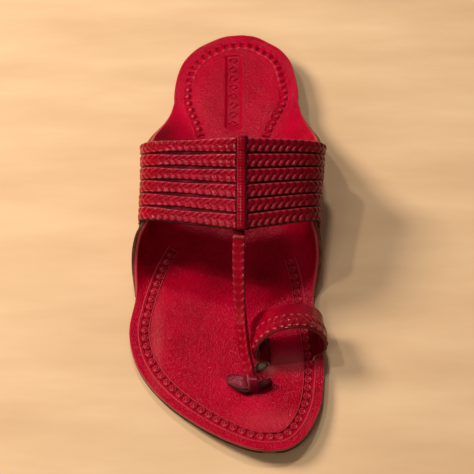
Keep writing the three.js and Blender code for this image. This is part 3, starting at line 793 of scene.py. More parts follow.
def heel_relief(u, v):
    """Tabs round the back of the heel, which turn into beads toward the border's two ends."""
    tabs = tab_relief(u, v)
    beads = bead_relief(u, v)
    share = smoothstep(*BEADS_FROM_END, np.minimum(u, u.max() - u))
    return tuple(mix(bead, tab, share) for tab, bead in zip(tabs, beads))


def tab_relief(u, v):
    """Tabs across the border with notches between them that open toward the rim."""
    du = from_stamp(u, HEEL_PITCH)
    open_out = smoothstep(*NOTCH_STARTS, v) * (1 - smoothstep(*NOTCH_ENDS, v))
    notch = form(NOTCH, np.abs(du), HEEL_PITCH / 2) * open_out
    tip = form(TAB_TIP, du) * bell(v, -1.9, 0.8)
    relief = notch + form(TAB, du) * bell(v, 0.2, 2.2) + tip + form(TAB_FURROW, v, -2.7)
    # Painted shade in the notches and a painted highlight on the tabs' tips
    return relief, 0.4 * notch / NOTCH[0], 0.35 * tip / TAB_TIP[0]


def border_paths():
    """The heel's and the forefoot's stretch of the border, each with the outer side on its left."""
    path = inset_path(BORDER_INSET)
    lateral = path[:len(path) // 2]
    medial = path[len(path) // 2:]
    heel = np.vstack([medial[medial[:, 1] < HEEL_BORDER_TO], lateral[lateral[:, 1] < HEEL_BORDER_TO]])
    front = np.vstack([
        lateral[lateral[:, 1] > FRONT_BORDER_FROM[0]], medial[medial[:, 1] > FRONT_BORDER_FROM[1]],
    ])
    return {"heel": heel, "front": front}


BORDERS = border_paths()


def trench(across, station):
    """Depth of the groove that takes the border strips."""
    flat = np.stack([across, station], -1).reshape(-1, 2)
    nearest = np.min([gap_to(flat, even_path(path, 1.0)[0]) for path in BORDERS.values()], axis=0)
    return (TRENCH_DEPTH * (1 - smoothstep(*TRENCH_SIDE, nearest))).reshape(across.shape)


def make_border(name, path, relief):
    placed, direction = even_path(path, BORDER_STEP)
    normal = np.stack([-direction[:, 1], direction[:, 0]], -1)
    v = np.linspace(BORDER_IN, BORDER_OUT, BORDER_COLUMNS)
    u = (np.arange(len(placed)) * BORDER_STEP)[:, None]
    across = placed[:, 0:1] + normal[:, 0:1] * v
    station = placed[:, 1:2] + normal[:, 1:2] * v
    lift, painted_shade, wear_and_highlight = relief(u, v[None, :])
    # The two ends and both sides run out into the footbed
    side_fade = smoothstep(0, SIDE_FADE, v - BORDER_IN) * smoothstep(0, SIDE_FADE, BORDER_OUT - v)
    end_fade = np.clip(np.minimum(u, u[-1] - u) / END_FADE, 0, 1)
    fade = side_fade * end_fade
    lift = lift * fade + BORDER_PROUD - SUNK_RIM * (2 - side_fade - end_fade)
    top = footbed_point(across, station, lift + unevenness(across, station))
    half = -(BORDER_COLUMNS // 2)
    low = footbed_point(across[:, ::half], station[:, ::half], -TRENCH_DEPTH - BORDER_UNDER)
    under = np.zeros((len(placed), low.shape[1]))
    paint = {"painted_shade": np.concatenate([painted_shade * fade, under], 1), "wear_and_highlight": np.concatenate([wear_and_highlight * fade, under], 1)}
    return loft(name, np.concatenate([top, low], 1), [footbed_leather], sharp=80, paint=paint)


# Sunk panel on the heel with a plain row of raised lozenges
PANEL_ACROSS = (-6.4, 2.2)
PANEL_STATIONS = (16.2, 70.8)
PANEL_DEPTH = 0.65
PANEL_SOFT = 1.1
LOZENGE_PITCH = 6.8
LOZENGE_HALF = (3.1, 2.5)
LOZENGE_BAR = 0.75
LOZENGE_RISE = 0.42
LOZENGE_ROOT = 0.1


def panel_depth(across, station):
    inside_x = np.minimum(across - PANEL_ACROSS[0], PANEL_ACROSS[1] - across)
    inside_s = np.minimum(station - PANEL_STATIONS[0], PANEL_STATIONS[1] - station)
    return PANEL_DEPTH * smoothstep(-PANEL_SOFT / 2, PANEL_SOFT / 2, np.minimum(inside_x, inside_s))


def panel_lozenges():
    """Raised lozenge frames, each four bars with a ridge along the middle."""
    parts = []
    middle = sum(PANEL_ACROSS) / 2
    count = int((PANEL_STATIONS[1] - PANEL_STATIONS[0]) / LOZENGE_PITCH)
    margin = (PANEL_STATIONS[1] - PANEL_STATIONS[0] - count * LOZENGE_PITCH) / 2
    corners = ((-1, 0), (0, -1), (1, 0), (0, 1))
    levels = (
        (1.0, -LOZENGE_ROOT), (1.0 - LOZENGE_BAR / 4, LOZENGE_RISE), (1.0 - LOZENGE_BAR / 2, -LOZENGE_ROOT),
    )
    for i in range(count):
        station = PANEL_STATIONS[0] + margin + LOZENGE_PITCH * (i + 0.5)
        base = -PANEL_DEPTH + float(unevenness(middle, station))
        points = []
        for size, lift in levels:
            for x, s in corners:
                across = middle + x * LOZENGE_HALF[0] * size
                place = station + s * LOZENGE_HALF[1] * size
                points.append((across, place, float(footbed(place)) + base + lift))
        faces = []
        for k in range(4):
            n = (k + 1) % 4
            faces += [(k, n, 4 + n, 4 + k), (4 + k, 4 + n, 8 + n, 8 + k), (8 + k, 8 + n, n, k)]
        parts.append((points, faces))
    return parts


# Insole: footbed and wings in one sheet with round edges
EDGE_ROUND = 0.55
DIP_DEPTH = 0.4
DIP_CREASES = 7
strap_rows = strap_path()
KNOT_PLACE = (strap_rows[-1][0], SLIT_AT)


def footbed_relief(across, station):
    """Height over the smooth footbed: slow waves, the sunk panel, the border's groove, a dip at the knot."""
    relief = unevenness(across, station)
    away = np.hypot(across - KNOT_PLACE[0], (station - KNOT_PLACE[1]) * 0.9)
    angle = np.arctan2(station - KNOT_PLACE[1], across - KNOT_PLACE[0])
    relief = relief - DIP_DEPTH * bell(away, 0, 7)
    relief = relief + 0.06 * np.sin(DIP_CREASES * angle + 0.6) * bell(away, 9, 5)
    return relief - panel_depth(across, station) - trench(across, station)


# Places painted into shade, and places painted lighter: middle across and along, half sizes, strength
SHADED_PLACES = [
    (7.6, 243.6, 5.2, 2.4, 1.0), (-1.5, 233.0, 6.5, 2.2, 0.35), (-4, 44, 12, 34, 0.12),
    (LOOP_LATERAL + 6, LOOP_AT + 2, 3.0, 5.0, 0.8), (LOOP_LATERAL + 30, LOOP_AT - 6, 3.0, 4.0, 0.8),
]
LIGHTER_PLACES = [
    (29.0, 224.5, 15.0, 6.0, 0.5), (17.5, 229.5, 3.2, 2.6, 0.85), (44.0, 196.0, 4.0, 14.0, 0.3),
    (-44.0, 215.0, 3.5, 26.0, 0.22), (20.0, 262.0, 20.0, 6.0, 0.15),
]


def spots(across, station, places):
    total = 0
    for x, s, half_x, half_s, strength in places:
        total = total + strength * bell(across, x, half_x) * bell(station, s, half_s)
    return np.clip(total, 0, 1)


def tip_rounding(distance):
    """How far a face sinks at a distance from its rim."""
    inner = np.clip(EDGE_ROUND - distance, 0, EDGE_ROUND)
    return EDGE_ROUND - np.sqrt(EDGE_ROUND ** 2 - inner ** 2)


# The sole's own rim shows where no wing rises: round the heel and round the toes
BARE_HEEL_TO = 45
BARE_TOE_FROM = SOLE_LENGTH - 85
FAR_FROM_RIM = 99.0


def rim_distance(across, station):
    ring, _ = outline_loop(700)
    flat = np.stack([across, station], -1).reshape(-1, 2)
    result = np.full(len(flat), FAR_FROM_RIM)
    near = (flat[:, 1] < BARE_HEEL_TO) | (flat[:, 1] > BARE_TOE_FROM)
    result[near] = gap_to(flat[near], ring, 40)
    return result.reshape(across.shape)


def sink_and_paint(across, station, distance):
    """How far the top face lies under the smooth footbed, its painted shade, and its painted lightening with
    a painted highlight along the rim.
    """
    relief = footbed_relief(across, station) * smoothstep(0, RIM_CALM, distance)
    # A painted highlight along the rounded rim
    rim_highlight = RIM_HIGHLIGHT * np.clip(1 - distance / RIM_HIGHLIGHT_WIDTH, 0, 1)
    painted_shade = spots(across, station, SHADED_PLACES)
    return tip_rounding(distance) - relief, painted_shade, spots(across, station, LIGHTER_PLACES) + rim_highlight


INSOLE_ROWS = 380
WING_COLUMNS = 44
FLAT_COLUMNS = 74
UNDER_COLUMNS = 12
RIM_CALM = 3
RIM_HIGHLIGHT = 0.35
RIM_HIGHLIGHT_WIDTH = 0.8
# Stations where the raw edge turns into a wing's lip, and back
LIP_FROM = (46, 60)
LIP_TO = (172, 186)


def make_insole():
    stations = 0.55 * eased_stations(INSOLE_ROWS) + 0.45 * np.linspace(0, SOLE_LENGTH, INSOLE_ROWS)
    station = stations[:, None]
    tops, painted_shades, wears_and_highlights, folds, unders = [], [], [], [], []
    for side in SIDES:
        fold, _, _, _, full = profile(side, station)
        length = np.linspace(0, 1, WING_COLUMNS)[None, :] ** 0.85 * full
        flat = wing(side, station, length, 0.0)
        distance = np.minimum(rim_distance(flat[..., 0], flat[..., 1]), (full - length))
        sink, painted_shade, wear_and_highlight = sink_and_paint(flat[..., 0], flat[..., 1], distance)
        tops.append(wing(side, station, length, sink))
        painted_shades.append(painted_shade)
        wears_and_highlights.append(wear_and_highlight)
        folds.append(fold)
        unders.append(wing(side, station, np.linspace(1, 0, UNDER_COLUMNS)[None, :] * full, INSOLE))
    share = np.linspace(0, 1, FLAT_COLUMNS + 2)[None, 1:-1]
    across = mix(-folds[0], folds[1], share)
    spread = station + 0 * across
    sink, painted_shade, wear_and_highlight = sink_and_paint(across, spread, rim_distance(across, spread))
    middle = np.stack([across, spread, footbed(spread) - sink], -1)
    upper = np.concatenate([tops[0][:, ::-1], middle, tops[1]], 1)
    rings = np.concatenate([upper, unders[1], unders[0][:, ::-1]], 1)
    count, top_count = rings.shape[1], upper.shape[1]
    below = np.zeros((INSOLE_ROWS, count - top_count))
    painted_shade = np.concatenate([painted_shades[0][:, ::-1], painted_shade, painted_shades[1], below], 1)
    wear_and_highlight = np.concatenate([wears_and_highlights[0][:, ::-1], wear_and_highlight, wears_and_highlights[1], below], 1)
    # The cut side shows raw leather wherever it isn't a wing's lip
    raw = 1 - smoothstep(*LIP_FROM, stations) * (1 - smoothstep(*LIP_TO, stations))
    wear_and_highlight[:, [top_count, count - 1]] = raw[:, None]
    sides = (top_count - 1, count - 1)
    paint = {"painted_shade": painted_shade, "wear_and_highlight": wear_and_highlight}
    return loft("footbed", rings, [footbed_leather, lip_leather_painted_highlight], sides, sharp=55, paint=paint)


dress(make_insole(), "insole")
for name, relief in (("heel", heel_relief), ("front", front_relief)):
    dress(make_border("border_" + name, BORDERS[name], relief))
dress(join_parts("panel_lozenges", panel_lozenges(), [footbed_leather], sharp=25))


# Outer layers of the wings
EAR_ROWS = 150
EAR_COLUMNS = 34
EAR_SWELL = 0.12
EAR_WAVE = 0.21
EAR_LIP = 0.15


def make_ear(side):
    stations = np.linspace(EAR_ENDS[0] * SOLE_LENGTH, EAR_ENDS[1] * SOLE_LENGTH, EAR_ROWS)[:, None]
    full = profile(side, stations)[4]
    share = np.linspace(0, 1, EAR_COLUMNS)[None, :]
    length = mix(-EAR_ROOT_LAP, full, share)
    drop = INSOLE + CLEARANCE
    swell = EAR_SWELL * np.sin(stations * EAR_WAVE) * share[:, ::-1]
    inner = wing(side, stations, length, drop)
    lip = wing(side, stations, full + EAR_LIP, drop + EAR / 2)
    outer = wing(side, stations, length[:, ::-1], drop + EAR + swell)
    rings = np.concatenate([inner, lip, outer], 1)
    lip_at = (EAR_COLUMNS - 1, EAR_COLUMNS)
    return loft("ear_" + side + "_layer", rings, [wing_leather, ear_edge], lip_at, sharp=55)


for side in SIDES:
    dress(make_ear(side), "ear_" + side)


# Outsole: rows across the sole with its side drawn in toward the floor
OUTSOLE_ROWS = 240
SOLE_COLUMNS = 26
# How far each level of the side is drawn in, and its depth under the seat
SIDE_LEVELS = [(0.25, 0.0), (0.05, 0.25), (0.0, 0.8), (0.12, 1.6), (0.3, 2.4), (0.62, 3.2), (0.95, 3.6)]
SHELF_WIDTH = EAR_ROOT_LAP + WING_FOLD_INSET


def side_points(count, inset):
    """Left and right points of each row, moved in from the outline along its own normal."""
    ring, normal = outline_loop(2 * count)
    moved = ring - normal * inset
    return moved[:count], moved[count:][::-1]


def between(start, end, shares):
    return mix(start[:, None, :], end[:, None, :], shares[None, :, None])


def make_outsole():
    stations = eased_stations(OUTSOLE_ROWS)
    shelf = stations > EAR_ENDS[0] * SOLE_LENGTH - CLEARANCE
    shelf = shelf & (stations < EAR_ENDS[1] * SOLE_LENGTH + CLEARANCE)
    left, right = [], []
    for inset, depth in SIDE_LEVELS:
        sink = np.where(shelf, np.maximum(depth, EAR + CLEARANCE), depth)
        for moved, level in zip(side_points(OUTSOLE_ROWS, inset), (left, right)):
            level.append(np.stack([moved[:, 0], moved[:, 1], seat(moved[:, 1]) - sink], -1))
    shares = np.linspace(0, 1, SOLE_COLUMNS)[1:-1]
    top = between(left[0], right[0], shares)
    from_side = np.minimum(top[..., 0] - left[0][:, None, 0], right[0][:, None, 0] - top[..., 0])
    lowered = shelf[:, None] & (from_side <= SHELF_WIDTH)
    top[..., 2] = seat(top[..., 1]) - np.where(lowered, EAR + CLEARANCE, 0)
    bottom = between(right[-1], left[-1], shares)
    bottom[..., 2] = seat(bottom[..., 1]) - OUTSOLE
    ring = [left[0][:, None], top, *(p[:, None] for p in right), bottom, *(p[:, None] for p in left[:0:-1])]
    under = len(shares) + len(SIDE_LEVELS)
    tread_at = range(under, under + len(shares) + 1)
    return loft("outsole_leather", np.concatenate(ring, 1), [sole_edge, tread_leather], tread_at, sharp=50)


dress(make_outsole(), "outsole")


# Heel lift: two stacked layers with a fine groove between them
HEEL_ROWS = 120
HEEL_GROOVE = 0.35
HEEL_BEVEL = (0.5, 0.4)
# Heights of the groove's corners as shares of the lift's height, then how far each level dips in
GROOVE_SHARES = (0.54, 0.52, 0.5, 0.48)
HEEL_DIPS = (0, 0, HEEL_GROOVE, HEEL_GROOVE, 0, 0, HEEL_BEVEL[1])


def make_heel():
    length = HEEL_BREAST * SOLE_LENGTH
    inset = OUTSOLE_UNDERCUT + HEEL_LIFT_INSET
    stations = length * (1 - np.cos(np.linspace(0, math.pi / 2, HEEL_ROWS)))
    lift = float(seat(length / 2)) - OUTSOLE - CLEARANCE
    lower = [lift * share for share in GROOVE_SHARES] + [HEEL_BEVEL[0], 0.0]
    rings = []
    for station in stations:
        moved = station + inset * (1 - station / length)
        lateral, medial = (max(inset, float(edge(side, station)) - inset) for side in SIDES)
        levels = list(zip([float(seat(moved)) - OUTSOLE - CLEARANCE] + lower, HEEL_DIPS))
        ring = [(dip - lateral, moved, height) for height, dip in levels]
        ring += [(medial - dip, moved, height) for height, dip in reversed(levels)]
        rings.append(ring)
    return loft("heel_stack", rings, [sole_edge, tread_leather], [len(HEEL_DIPS) - 1], sharp=40)


dress(make_heel(), "heel_lift")


# Instep band: a smooth wall, then six plaited strips laid side by side on it
BAND_ROWS = 161
BAND_COLUMNS = 40


def make_band_wall():
    courses = np.linspace(-2, 2, BAND_ROWS)[:, None]
    depth = np.linspace(0, 1, BAND_COLUMNS)[None, :]
    outer = band_point(courses, depth, BAND_WALL - 0.15)
    inner = band_point(courses, depth[:, ::-1], 0.0)
    rings = np.concatenate([outer, inner], 1)
    rims = (BAND_COLUMNS - 1, 2 * BAND_COLUMNS - 1)
    # The outer face, seen only in the gaps between the strips, is painted into full shade
    painted_shade = np.zeros(rings.shape[:2])
    painted_shade[:, :BAND_COLUMNS] = 1
    return loft("band_wall", rings, [wing_leather, strip_edge], rims, sharp=55, paint={"painted_shade": painted_shade})


BRAID_PITCH = 4.0
BRAID_SLANT = 2.3
LOBE_FULLNESS = 0.7
LOBE_MIDDLE = 0.47
LOBE_HALF = 0.6
LOBE_END = (0.84, 0.1)
RIB_SIDE = (0.03, 0.09)
RIM_SHARE = 0.12
HALF_SEAM = 0.022
BAND_TUCK = 1.98
STRIP_STEP = 0.42
STRIP_COLUMNS = 23
STRIP_SEAT = 0.35
STRIP_UNDER = 0.3
GAP_SHARE = 0.45
MEDIAL_SHADE = 0.22
# How much the strips pull in, at which course, and over what width
PULL_IN = 0.17
PULL_PLACE = (-0.36, 0.2)


def braid_height(along, across):
    """Plait of two rows of slanted lobes, half a pitch apart: height share, and each lobe's fullness."""
    phase = (along + BRAID_SLANT * np.abs(across)) / BRAID_PITCH + np.where(across < 0, 0.5, 0.0)
    lobe = np.abs(np.sin(math.pi * phase)) ** LOBE_FULLNESS
    crown = np.sqrt(np.clip(1 - ((np.abs(across) - LOBE_MIDDLE) / LOBE_HALF) ** 2, 0.0, 1))
    return lobe * crown, lobe


def plaited_strip(
    name, point, rows, lengths, count, material, base, raise_by, floor, fade=None, rib_rise=0.45, shade=0.0,
):
    """Closed strip of count columns: point(row, cross share 0 to 1, lift), with a plait on its outer face."""
    cross = np.linspace(0, 1, count)
    across = (2 * cross - 1)[None, :]
    height, lobe = braid_height(lengths[:, None], across)
    if fade is not None:
        height = height * fade[:, None]
    # A smooth rib runs along the rear edge
    rib = (1 - smoothstep(*RIB_SIDE, cross)[None, :]) * (rib_rise > 0)
    height = height * (1 - rib)
    drawn = 1 - 0.09 * (1 - lobe) * np.abs(across) ** 3 * (1 - rib)
    rim = np.clip((1 - np.abs(across)) / RIM_SHARE, 0, 1)
    lift = base + raise_by * (height * (0.35 + 0.65 * rim) + rib_rise * rib)
    lift = lift - (base - floor) * 0.75 * (1 - rim) ** 2
    outer = point(rows[:, None], (across * drawn + 1) / 2, lift)
    inner = point(rows[:, None], cross[None, ::-1][:, ::4], floor + np.zeros((len(rows), len(cross[::4]))))
    low = np.zeros((len(rows), inner.shape[1]))
    # Painted shade in the plait's valleys, toward the strip's sides and over its whole underside, with more
    # for a strip that stands in shadow
    valley_shade = np.clip(1 - lobe * 1.5, 0, 1) * smoothstep(0.1, 0.55, np.abs(across))
    painted_shade = shade + (0.85 * valley_shade + 0.8 * (1 - rim)) * (1 - rib)
    # Each lobe's outer end gets a painted highlight, and the rib along the rear edge a fainter one
    lobe_end_highlight = lobe ** 12 * bell(np.abs(across), *LOBE_END)
    wear_and_highlight = 1.1 * lobe_end_highlight * (1 - rib) + 0.4 * rib
    paint = {"painted_shade": np.concatenate([painted_shade, low + 1], 1), "wear_and_highlight": np.concatenate([wear_and_highlight, low], 1)}
    return loft(name, np.concatenate([outer, inner], 1), [material], sharp=75, paint=paint)


def even_courses(depth, low, high):
    """Courses an even length apart along the band at a depth."""
    fine = np.linspace(low, high, 1600)
    lengths = path_lengths(band_point(fine, depth, BAND_WALL))
    return np.interp(np.arange(0, lengths[-1], STRIP_STEP), lengths, fine)


def strip_share(course, share):
    """The strips pull in a little where they pass over the lateral side of the instep."""
    return 0.5 + (share - 0.5) * (1 - PULL_IN * bell(course, *PULL_PLACE))


def make_half_strip(strip, side):
    """One strip from its tucked end up to the centre strip."""
    half_gap = STRIP_GAP * GAP_SHARE
    low = (strip + (half_gap if strip else 0.0)) / STRIPS
    high = (strip + 1 - (half_gap if strip < STRIPS - 1 else 0.0)) / STRIPS
    middle = (low + high) / 2
    medial = side == "medial"
    courses = even_courses(middle, *((HALF_SEAM, BAND_TUCK) if medial else (-BAND_TUCK, -HALF_SEAM)))
    lengths = path_lengths(band_point(courses, middle, BAND_WALL))
    return plaited_strip(
        f"braid_{strip + 1}_{side}",
        lambda row, share, lift: band_point(row, mix(low, high, strip_share(row, share)), lift),
        courses, np.abs(lengths - lengths[np.argmin(np.abs(courses))]), STRIP_COLUMNS,
        # The medial strips take the shaded copy and extra painted shade, for the side in shadow
        shaded_braid_leather if medial else braid_leather,
        base=BAND_WALL + STRIP_SEAT, raise_by=STRIP_RAISE * 0.8, floor=BAND_WALL - STRIP_UNDER,
        shade=MEDIAL_SHADE if medial else 0.0,
    )


dress(make_band_wall(), "upper")
for strip in range(STRIPS):
    for side in SIDES:
        dress(make_half_strip(strip, side))


# Centre strip over the ridge
CENTRE_ROWS = 320
CENTRE_COLUMNS = 15
CENTRE_OVER = 0.004
CENTRE_ROLL = 0.9
CENTRE_TURN_UP = 0.25
TURN_UP_PLACE = (-0.72, 0.16)
CENTRE_SLOPE = 0.3
# Shares of the width and of the raise, at a pinch and between two
CENTRE_WIDTHS = (0.93, 1.0)
CENTRE_RAISES = (0.05, 0.55)
RUNGS_PER_STRIP = 5
RUNG_STEP = 0.12
SEAM_OFFSET = CENTRE_STRIP_WIDTH / 2 + 0.25
SEAM_PROUD = 0.35
SEAM_HALF = 0.38
SEAM_ROWS = 260
# Share of the seam's half width, and depth under its top
SEAM_CORNERS = ((-1, 0.25), (-0.5, 0), (0.5, 0), (1, 0.25), (1, 1.6), (-1, 1.6))
HOLE_RADIUS = 0.85


def make_centre_strip():
    """The strip is pinched at each gap between the plaits."""
    depths = np.linspace(-CENTRE_OVER, 1 + CENTRE_OVER, CENTRE_ROWS)
    ridge = band_point(np.zeros_like(depths), depths, 0.0)
    share = np.linspace(-1, 1, CENTRE_COLUMNS)
    pinch = np.abs(np.sin(math.pi * depths * STRIPS)) ** 0.35
    rung = np.abs(np.sin(math.pi * depths * STRIPS * RUNGS_PER_STRIP))
    # Bent over the ridge, its lateral edge turned up a little
    rolled = CENTRE_ROLL * np.abs(share) ** 9
    turned_up = CENTRE_TURN_UP * bell(share, *TURN_UP_PLACE)
    rings = []
    for point, near, step in zip(ridge, pinch, rung):
        half = CENTRE_STRIP_WIDTH / 2 * mix(*CENTRE_WIDTHS, near)
        top = BAND_WALL + STRIP_RAISE + CENTRE_STRIP_RAISE * mix(*CENTRE_RAISES, near) + RUNG_STEP * step
        heights = top - rolled - CENTRE_SLOPE * share * half * (share > 0) + turned_up * near
        outer = [(point[0] + s * half, point[1], point[2] + height) for s, height in zip(share, heights)]
        inner = [(point[0] + s * half, point[1], point[2] + BAND_WALL / 2) for s in share[::-2]]
        rings.append(outer + inner)
    return loft("centre_strip", rings, [braid_leather], sharp=60)


def make_seam():
    """Dark sunk line of stitching along the medial side of the centre strip, with a hole at each gap."""
    depths = np.linspace(0.0, 1.0, SEAM_ROWS)
    ridge = band_point(np.zeros_like(depths), depths, 0.0)
    length = np.linalg.norm(ridge[-1] - ridge[0])
    rings = []
    for (across, station, height), depth in zip(ridge, depths):
        gap = abs(depth * STRIPS - round(depth * STRIPS)) / STRIPS * length
        half = SEAM_HALF + (HOLE_RADIUS - SEAM_HALF) * math.sqrt(max(0, 1 - (gap / HOLE_RADIUS) ** 2))
        x = across + SEAM_OFFSET
        top = height + BAND_WALL + STRIP_RAISE + SEAM_PROUD - RIDGE_PITCH * SEAM_OFFSET
        rings.append([(x + s * half, station, top - sunk) for s, sunk in SEAM_CORNERS])
    # The whole seam is painted into full shade, for the shade in its gap and holes; the thread is dark as
    # well
    painted_shade = np.ones((len(rings), len(rings[0])))
    return loft("centre_seam", rings, [tail_leather], sharp=60, paint={"painted_shade": painted_shade})


dress(make_seam())
dress(make_centre_strip())

# Toe strap: a thick strip whose plaited face turns toward the little toe on its way down
STRAP_STEP = 0.4
STRAP_COLUMNS = 19
RUNG_PITCH = 4.2
RUNG_SAG = 1.1
RUNG_SHARPNESS = 6
# Height of a rung in the middle of the strap and at its sides
RUNG_RISE = (0.16, 0.5)
FOLD_FROM_BAND = 3.2
FOLD_RISE = 1.1
FOLD_HALF = 0.6
PLAIN_UNTIL = -1.1
STRAP_SINK = 0.6
STRAP_ROUND = 0.35
STRAP_HOLLOW = 0.12
STRAP_SHADE = 0.35
# Share across and height of the strap's sides and underside, under its top face
STRAP_UNDER = [
    (1, -1.2), (1, -0.75 * STRAP_THICKNESS), (0.8, -STRAP_THICKNESS), (0, -STRAP_THICKNESS),
    (-0.8, -STRAP_THICKNESS), (-1, -0.75 * STRAP_THICKNESS), (-1, -1.2),
]


def make_toe_strap():
    samples = smooth_rows(strap_rows[:, :3], 40)
    places = np.linspace(0, len(strap_rows) - 1, len(samples))
    turns = np.interp(places, np.arange(len(strap_rows)), strap_rows[:, 3])
    lengths = path_lengths(samples)
    marks = np.arange(0, lengths[-1], STRAP_STEP)
    path = at_lengths(samples, lengths, marks)
    turn = np.radians(np.interp(marks, lengths, turns))
    tangent = unit(np.gradient(path, axis=0))
    share = np.linspace(-1, 1, STRAP_COLUMNS)
    rim_at = int(np.argmin(np.abs(path[:, 1] - strap_rows[1, 1])))
    fold_at = marks[rim_at] + FOLD_FROM_BAND
    rings, painted_shade, wear_and_highlight = [], [], []
    for place, direction, angle, mark in zip(path, tangent, turn, marks):
        # Worked out with the station axis turned round, so that it is right-handed
        along = Vector((direction[0], -direction[1], direction[2])).normalized()
        across = Vector((1, 0, 0))
        across = (across - along * across.dot(along)).normalized()
        up = along.cross(across)
        flat = across * math.cos(angle) + up * math.sin(angle)
        rise = up * math.cos(angle) - across * math.sin(angle)
        # Rungs sag toward the toe in the middle of the strap, and the first is a fold
        beyond = mark - fold_at
        phase = (beyond - RUNG_SAG * (1 - share ** 2)) / RUNG_PITCH
        rung = np.abs(np.cos(math.pi * phase)) ** RUNG_SHARPNESS if beyond > 0 else 0 * share
        reach = share * (0.95 + 0.05 * rung)
        lift = mix(*RUNG_RISE, share ** 2) * rung + FOLD_RISE * bell(beyond, 0, FOLD_HALF) - STRAP_SINK
        lift = lift - STRAP_ROUND * np.abs(share) ** 6 - STRAP_HOLLOW * (1 - share ** 2)
        section = [*zip(reach, lift), *STRAP_UNDER]
        ring = [flat * (STRAP_WIDTH / 2 * s) + rise * height for s, height in section]
        rings.append([(place[0] + v.x, place[1] - v.y, place[2] + v.z) for v in ring])
        # Painted shade between the rungs, in full before the fold where the band shades the strap, and on its
        # sides and underside; painted highlights on the rungs' sides and the fold
        shade = 0.16 * (1 - rung) if beyond > PLAIN_UNTIL else np.ones(share.shape)
        strap_highlight = 0.6 * rung * share ** 2 + 1.2 * bell(beyond, 0.2, FOLD_HALF)
        painted_shade.append([*shade, *[STRAP_SHADE] * len(STRAP_UNDER)])
        wear_and_highlight.append([*strap_highlight, *[0] * len(STRAP_UNDER)])
    return loft("toe_strap", rings, [braid_leather], sharp=60, paint={"painted_shade": painted_shade, "wear_and_highlight": wear_and_highlight})


dress(make_toe_strap())


# Toe loop: a plain strip with a plaited band along its front part
LOOP_ROUND = 0.9
LOOP_STATIONS = 220
LOOP_COLUMNS = 34
LOOP_INNER_ROUND = 0.3
FOOT_PALE = (0.1, 0.2)
PLAIT_SPAN = (0.13, 0.87)
PLAIT_SHARE = 0.51
PLAIT_MIDDLE = 0.7
PLAIT_COLUMNS = 25
PLAIT_STEP = 0.38
PLAIT_SEAT = 0.2
PLAIT_UNDER = 0.4
PLAIT_FADE = 4
# Raw end of the loop's lateral foot, folded flat in front of its slit: middle across and along, half sizes
FOOT_END = ((12.9, 227.6), (3.2, 2.7, 1.9))
FOOT_END_TIP = 0.12
FOOT_END_SQUARE = 0.7
FOOT_END_FLAT = 0.8
FOOT_END_SLANT = 0.25
FOOT_END_WORN = 0.8


def make_loop_wall():
    rows = np.linspace(0, 1, LOOP_STATIONS)[:, None]
    width = (1 - np.cos(np.linspace(0, math.pi, LOOP_COLUMNS)))[None, :] / 2
    rim = np.minimum(width, 1 - width) * LOOP_WIDTH
    sink = LOOP_ROUND - np.sqrt(LOOP_ROUND ** 2 - np.clip(LOOP_ROUND - rim, 0, LOOP_ROUND) ** 2)
    outer = loop_point(rows, width, LOOP_WALL - sink)
    inner = loop_point(rows, width[:, ::-1], sink[:, ::-1] * LOOP_INNER_ROUND)
    rings = np.concatenate([outer, inner], 1)
    rims = (LOOP_COLUMNS - 1, 2 * LOOP_COLUMNS - 1)
    # The cut edge is paler at the feet; the inside is painted into shade, more toward them
    foot = 1 - smoothstep(*FOOT_PALE, np.minimum(rows, 1 - rows))
    wear_and_highlight = np.zeros(rings.shape[:2])
    wear_and_highlight[:, LOOP_COLUMNS - 1:LOOP_COLUMNS + 1] = 0.8 * foot
    painted_shade = np.zeros(rings.shape[:2])
    painted_shade[:, LOOP_COLUMNS + 2:2 * LOOP_COLUMNS - 2] = 0.25 + 0.35 * foot
    paint = {"painted_shade": painted_shade, "wear_and_highlight": wear_and_highlight}
    return loft("toe_loop_wall", rings, [loop_leather, raw_edge], rims, sharp=55, paint=paint)


def make_loop_plait():
    fine = np.linspace(*PLAIT_SPAN, 1200)
    lengths = path_lengths(loop_point(fine, PLAIT_MIDDLE, LOOP_WALL))
    marks = np.arange(0, lengths[-1], PLAIT_STEP)
    return plaited_strip(
        "toe_loop_plait",
        lambda row, share, lift: loop_point(row, LOOP_BRAID_FROM + PLAIT_SHARE * share, lift),
        np.interp(marks, lengths, fine), np.abs(marks - lengths[-1] / 2), PLAIT_COLUMNS, loop_leather,
        base=LOOP_WALL + PLAIT_SEAT, raise_by=LOOP_BRAID_RAISE * 0.75, floor=LOOP_WALL - PLAIT_UNDER,
        fade=np.clip(np.minimum(marks, lengths[-1] - marks) / PLAIT_FADE, 0.2, 1), rib_rise=0.0,
    )


def rounded(share, power):
    return np.sign(share) * abs(share) ** power


def make_foot_end():
    (middle_x, middle_s), (half_x, half_s, half_z) = FOOT_END
    rings = []
    for polar in np.linspace(FOOT_END_TIP, math.pi - FOOT_END_TIP, 18):
        swell = math.sin(polar) ** FOOT_END_SQUARE
        x = middle_x + half_x * math.cos(polar)
        ring = []
        for turn in np.linspace(0, 2 * math.pi, 33)[:-1]:
            uneven = 1 + 0.07 * math.sin(5 * turn + 3 * polar) + 0.05 * math.sin(9 * polar)
            s = half_s * swell * rounded(math.cos(turn), FOOT_END_SQUARE) * uneven
            z = half_z * swell * rounded(math.sin(turn), FOOT_END_FLAT) * uneven
            ring.append((x, middle_s + s - FOOT_END_SLANT * (x - middle_x), float(footbed(middle_s)) + z))
        rings.append(ring)
    wear_and_highlight = np.full((len(rings), len(rings[0])), FOOT_END_WORN)
    return loft("toe_loop_end", rings, [raw_edge], sharp=80, paint={"wear_and_highlight": wear_and_highlight})


dress(make_loop_wall(), "toe_loop")
dress(make_loop_plait())
dress(make_foot_end())


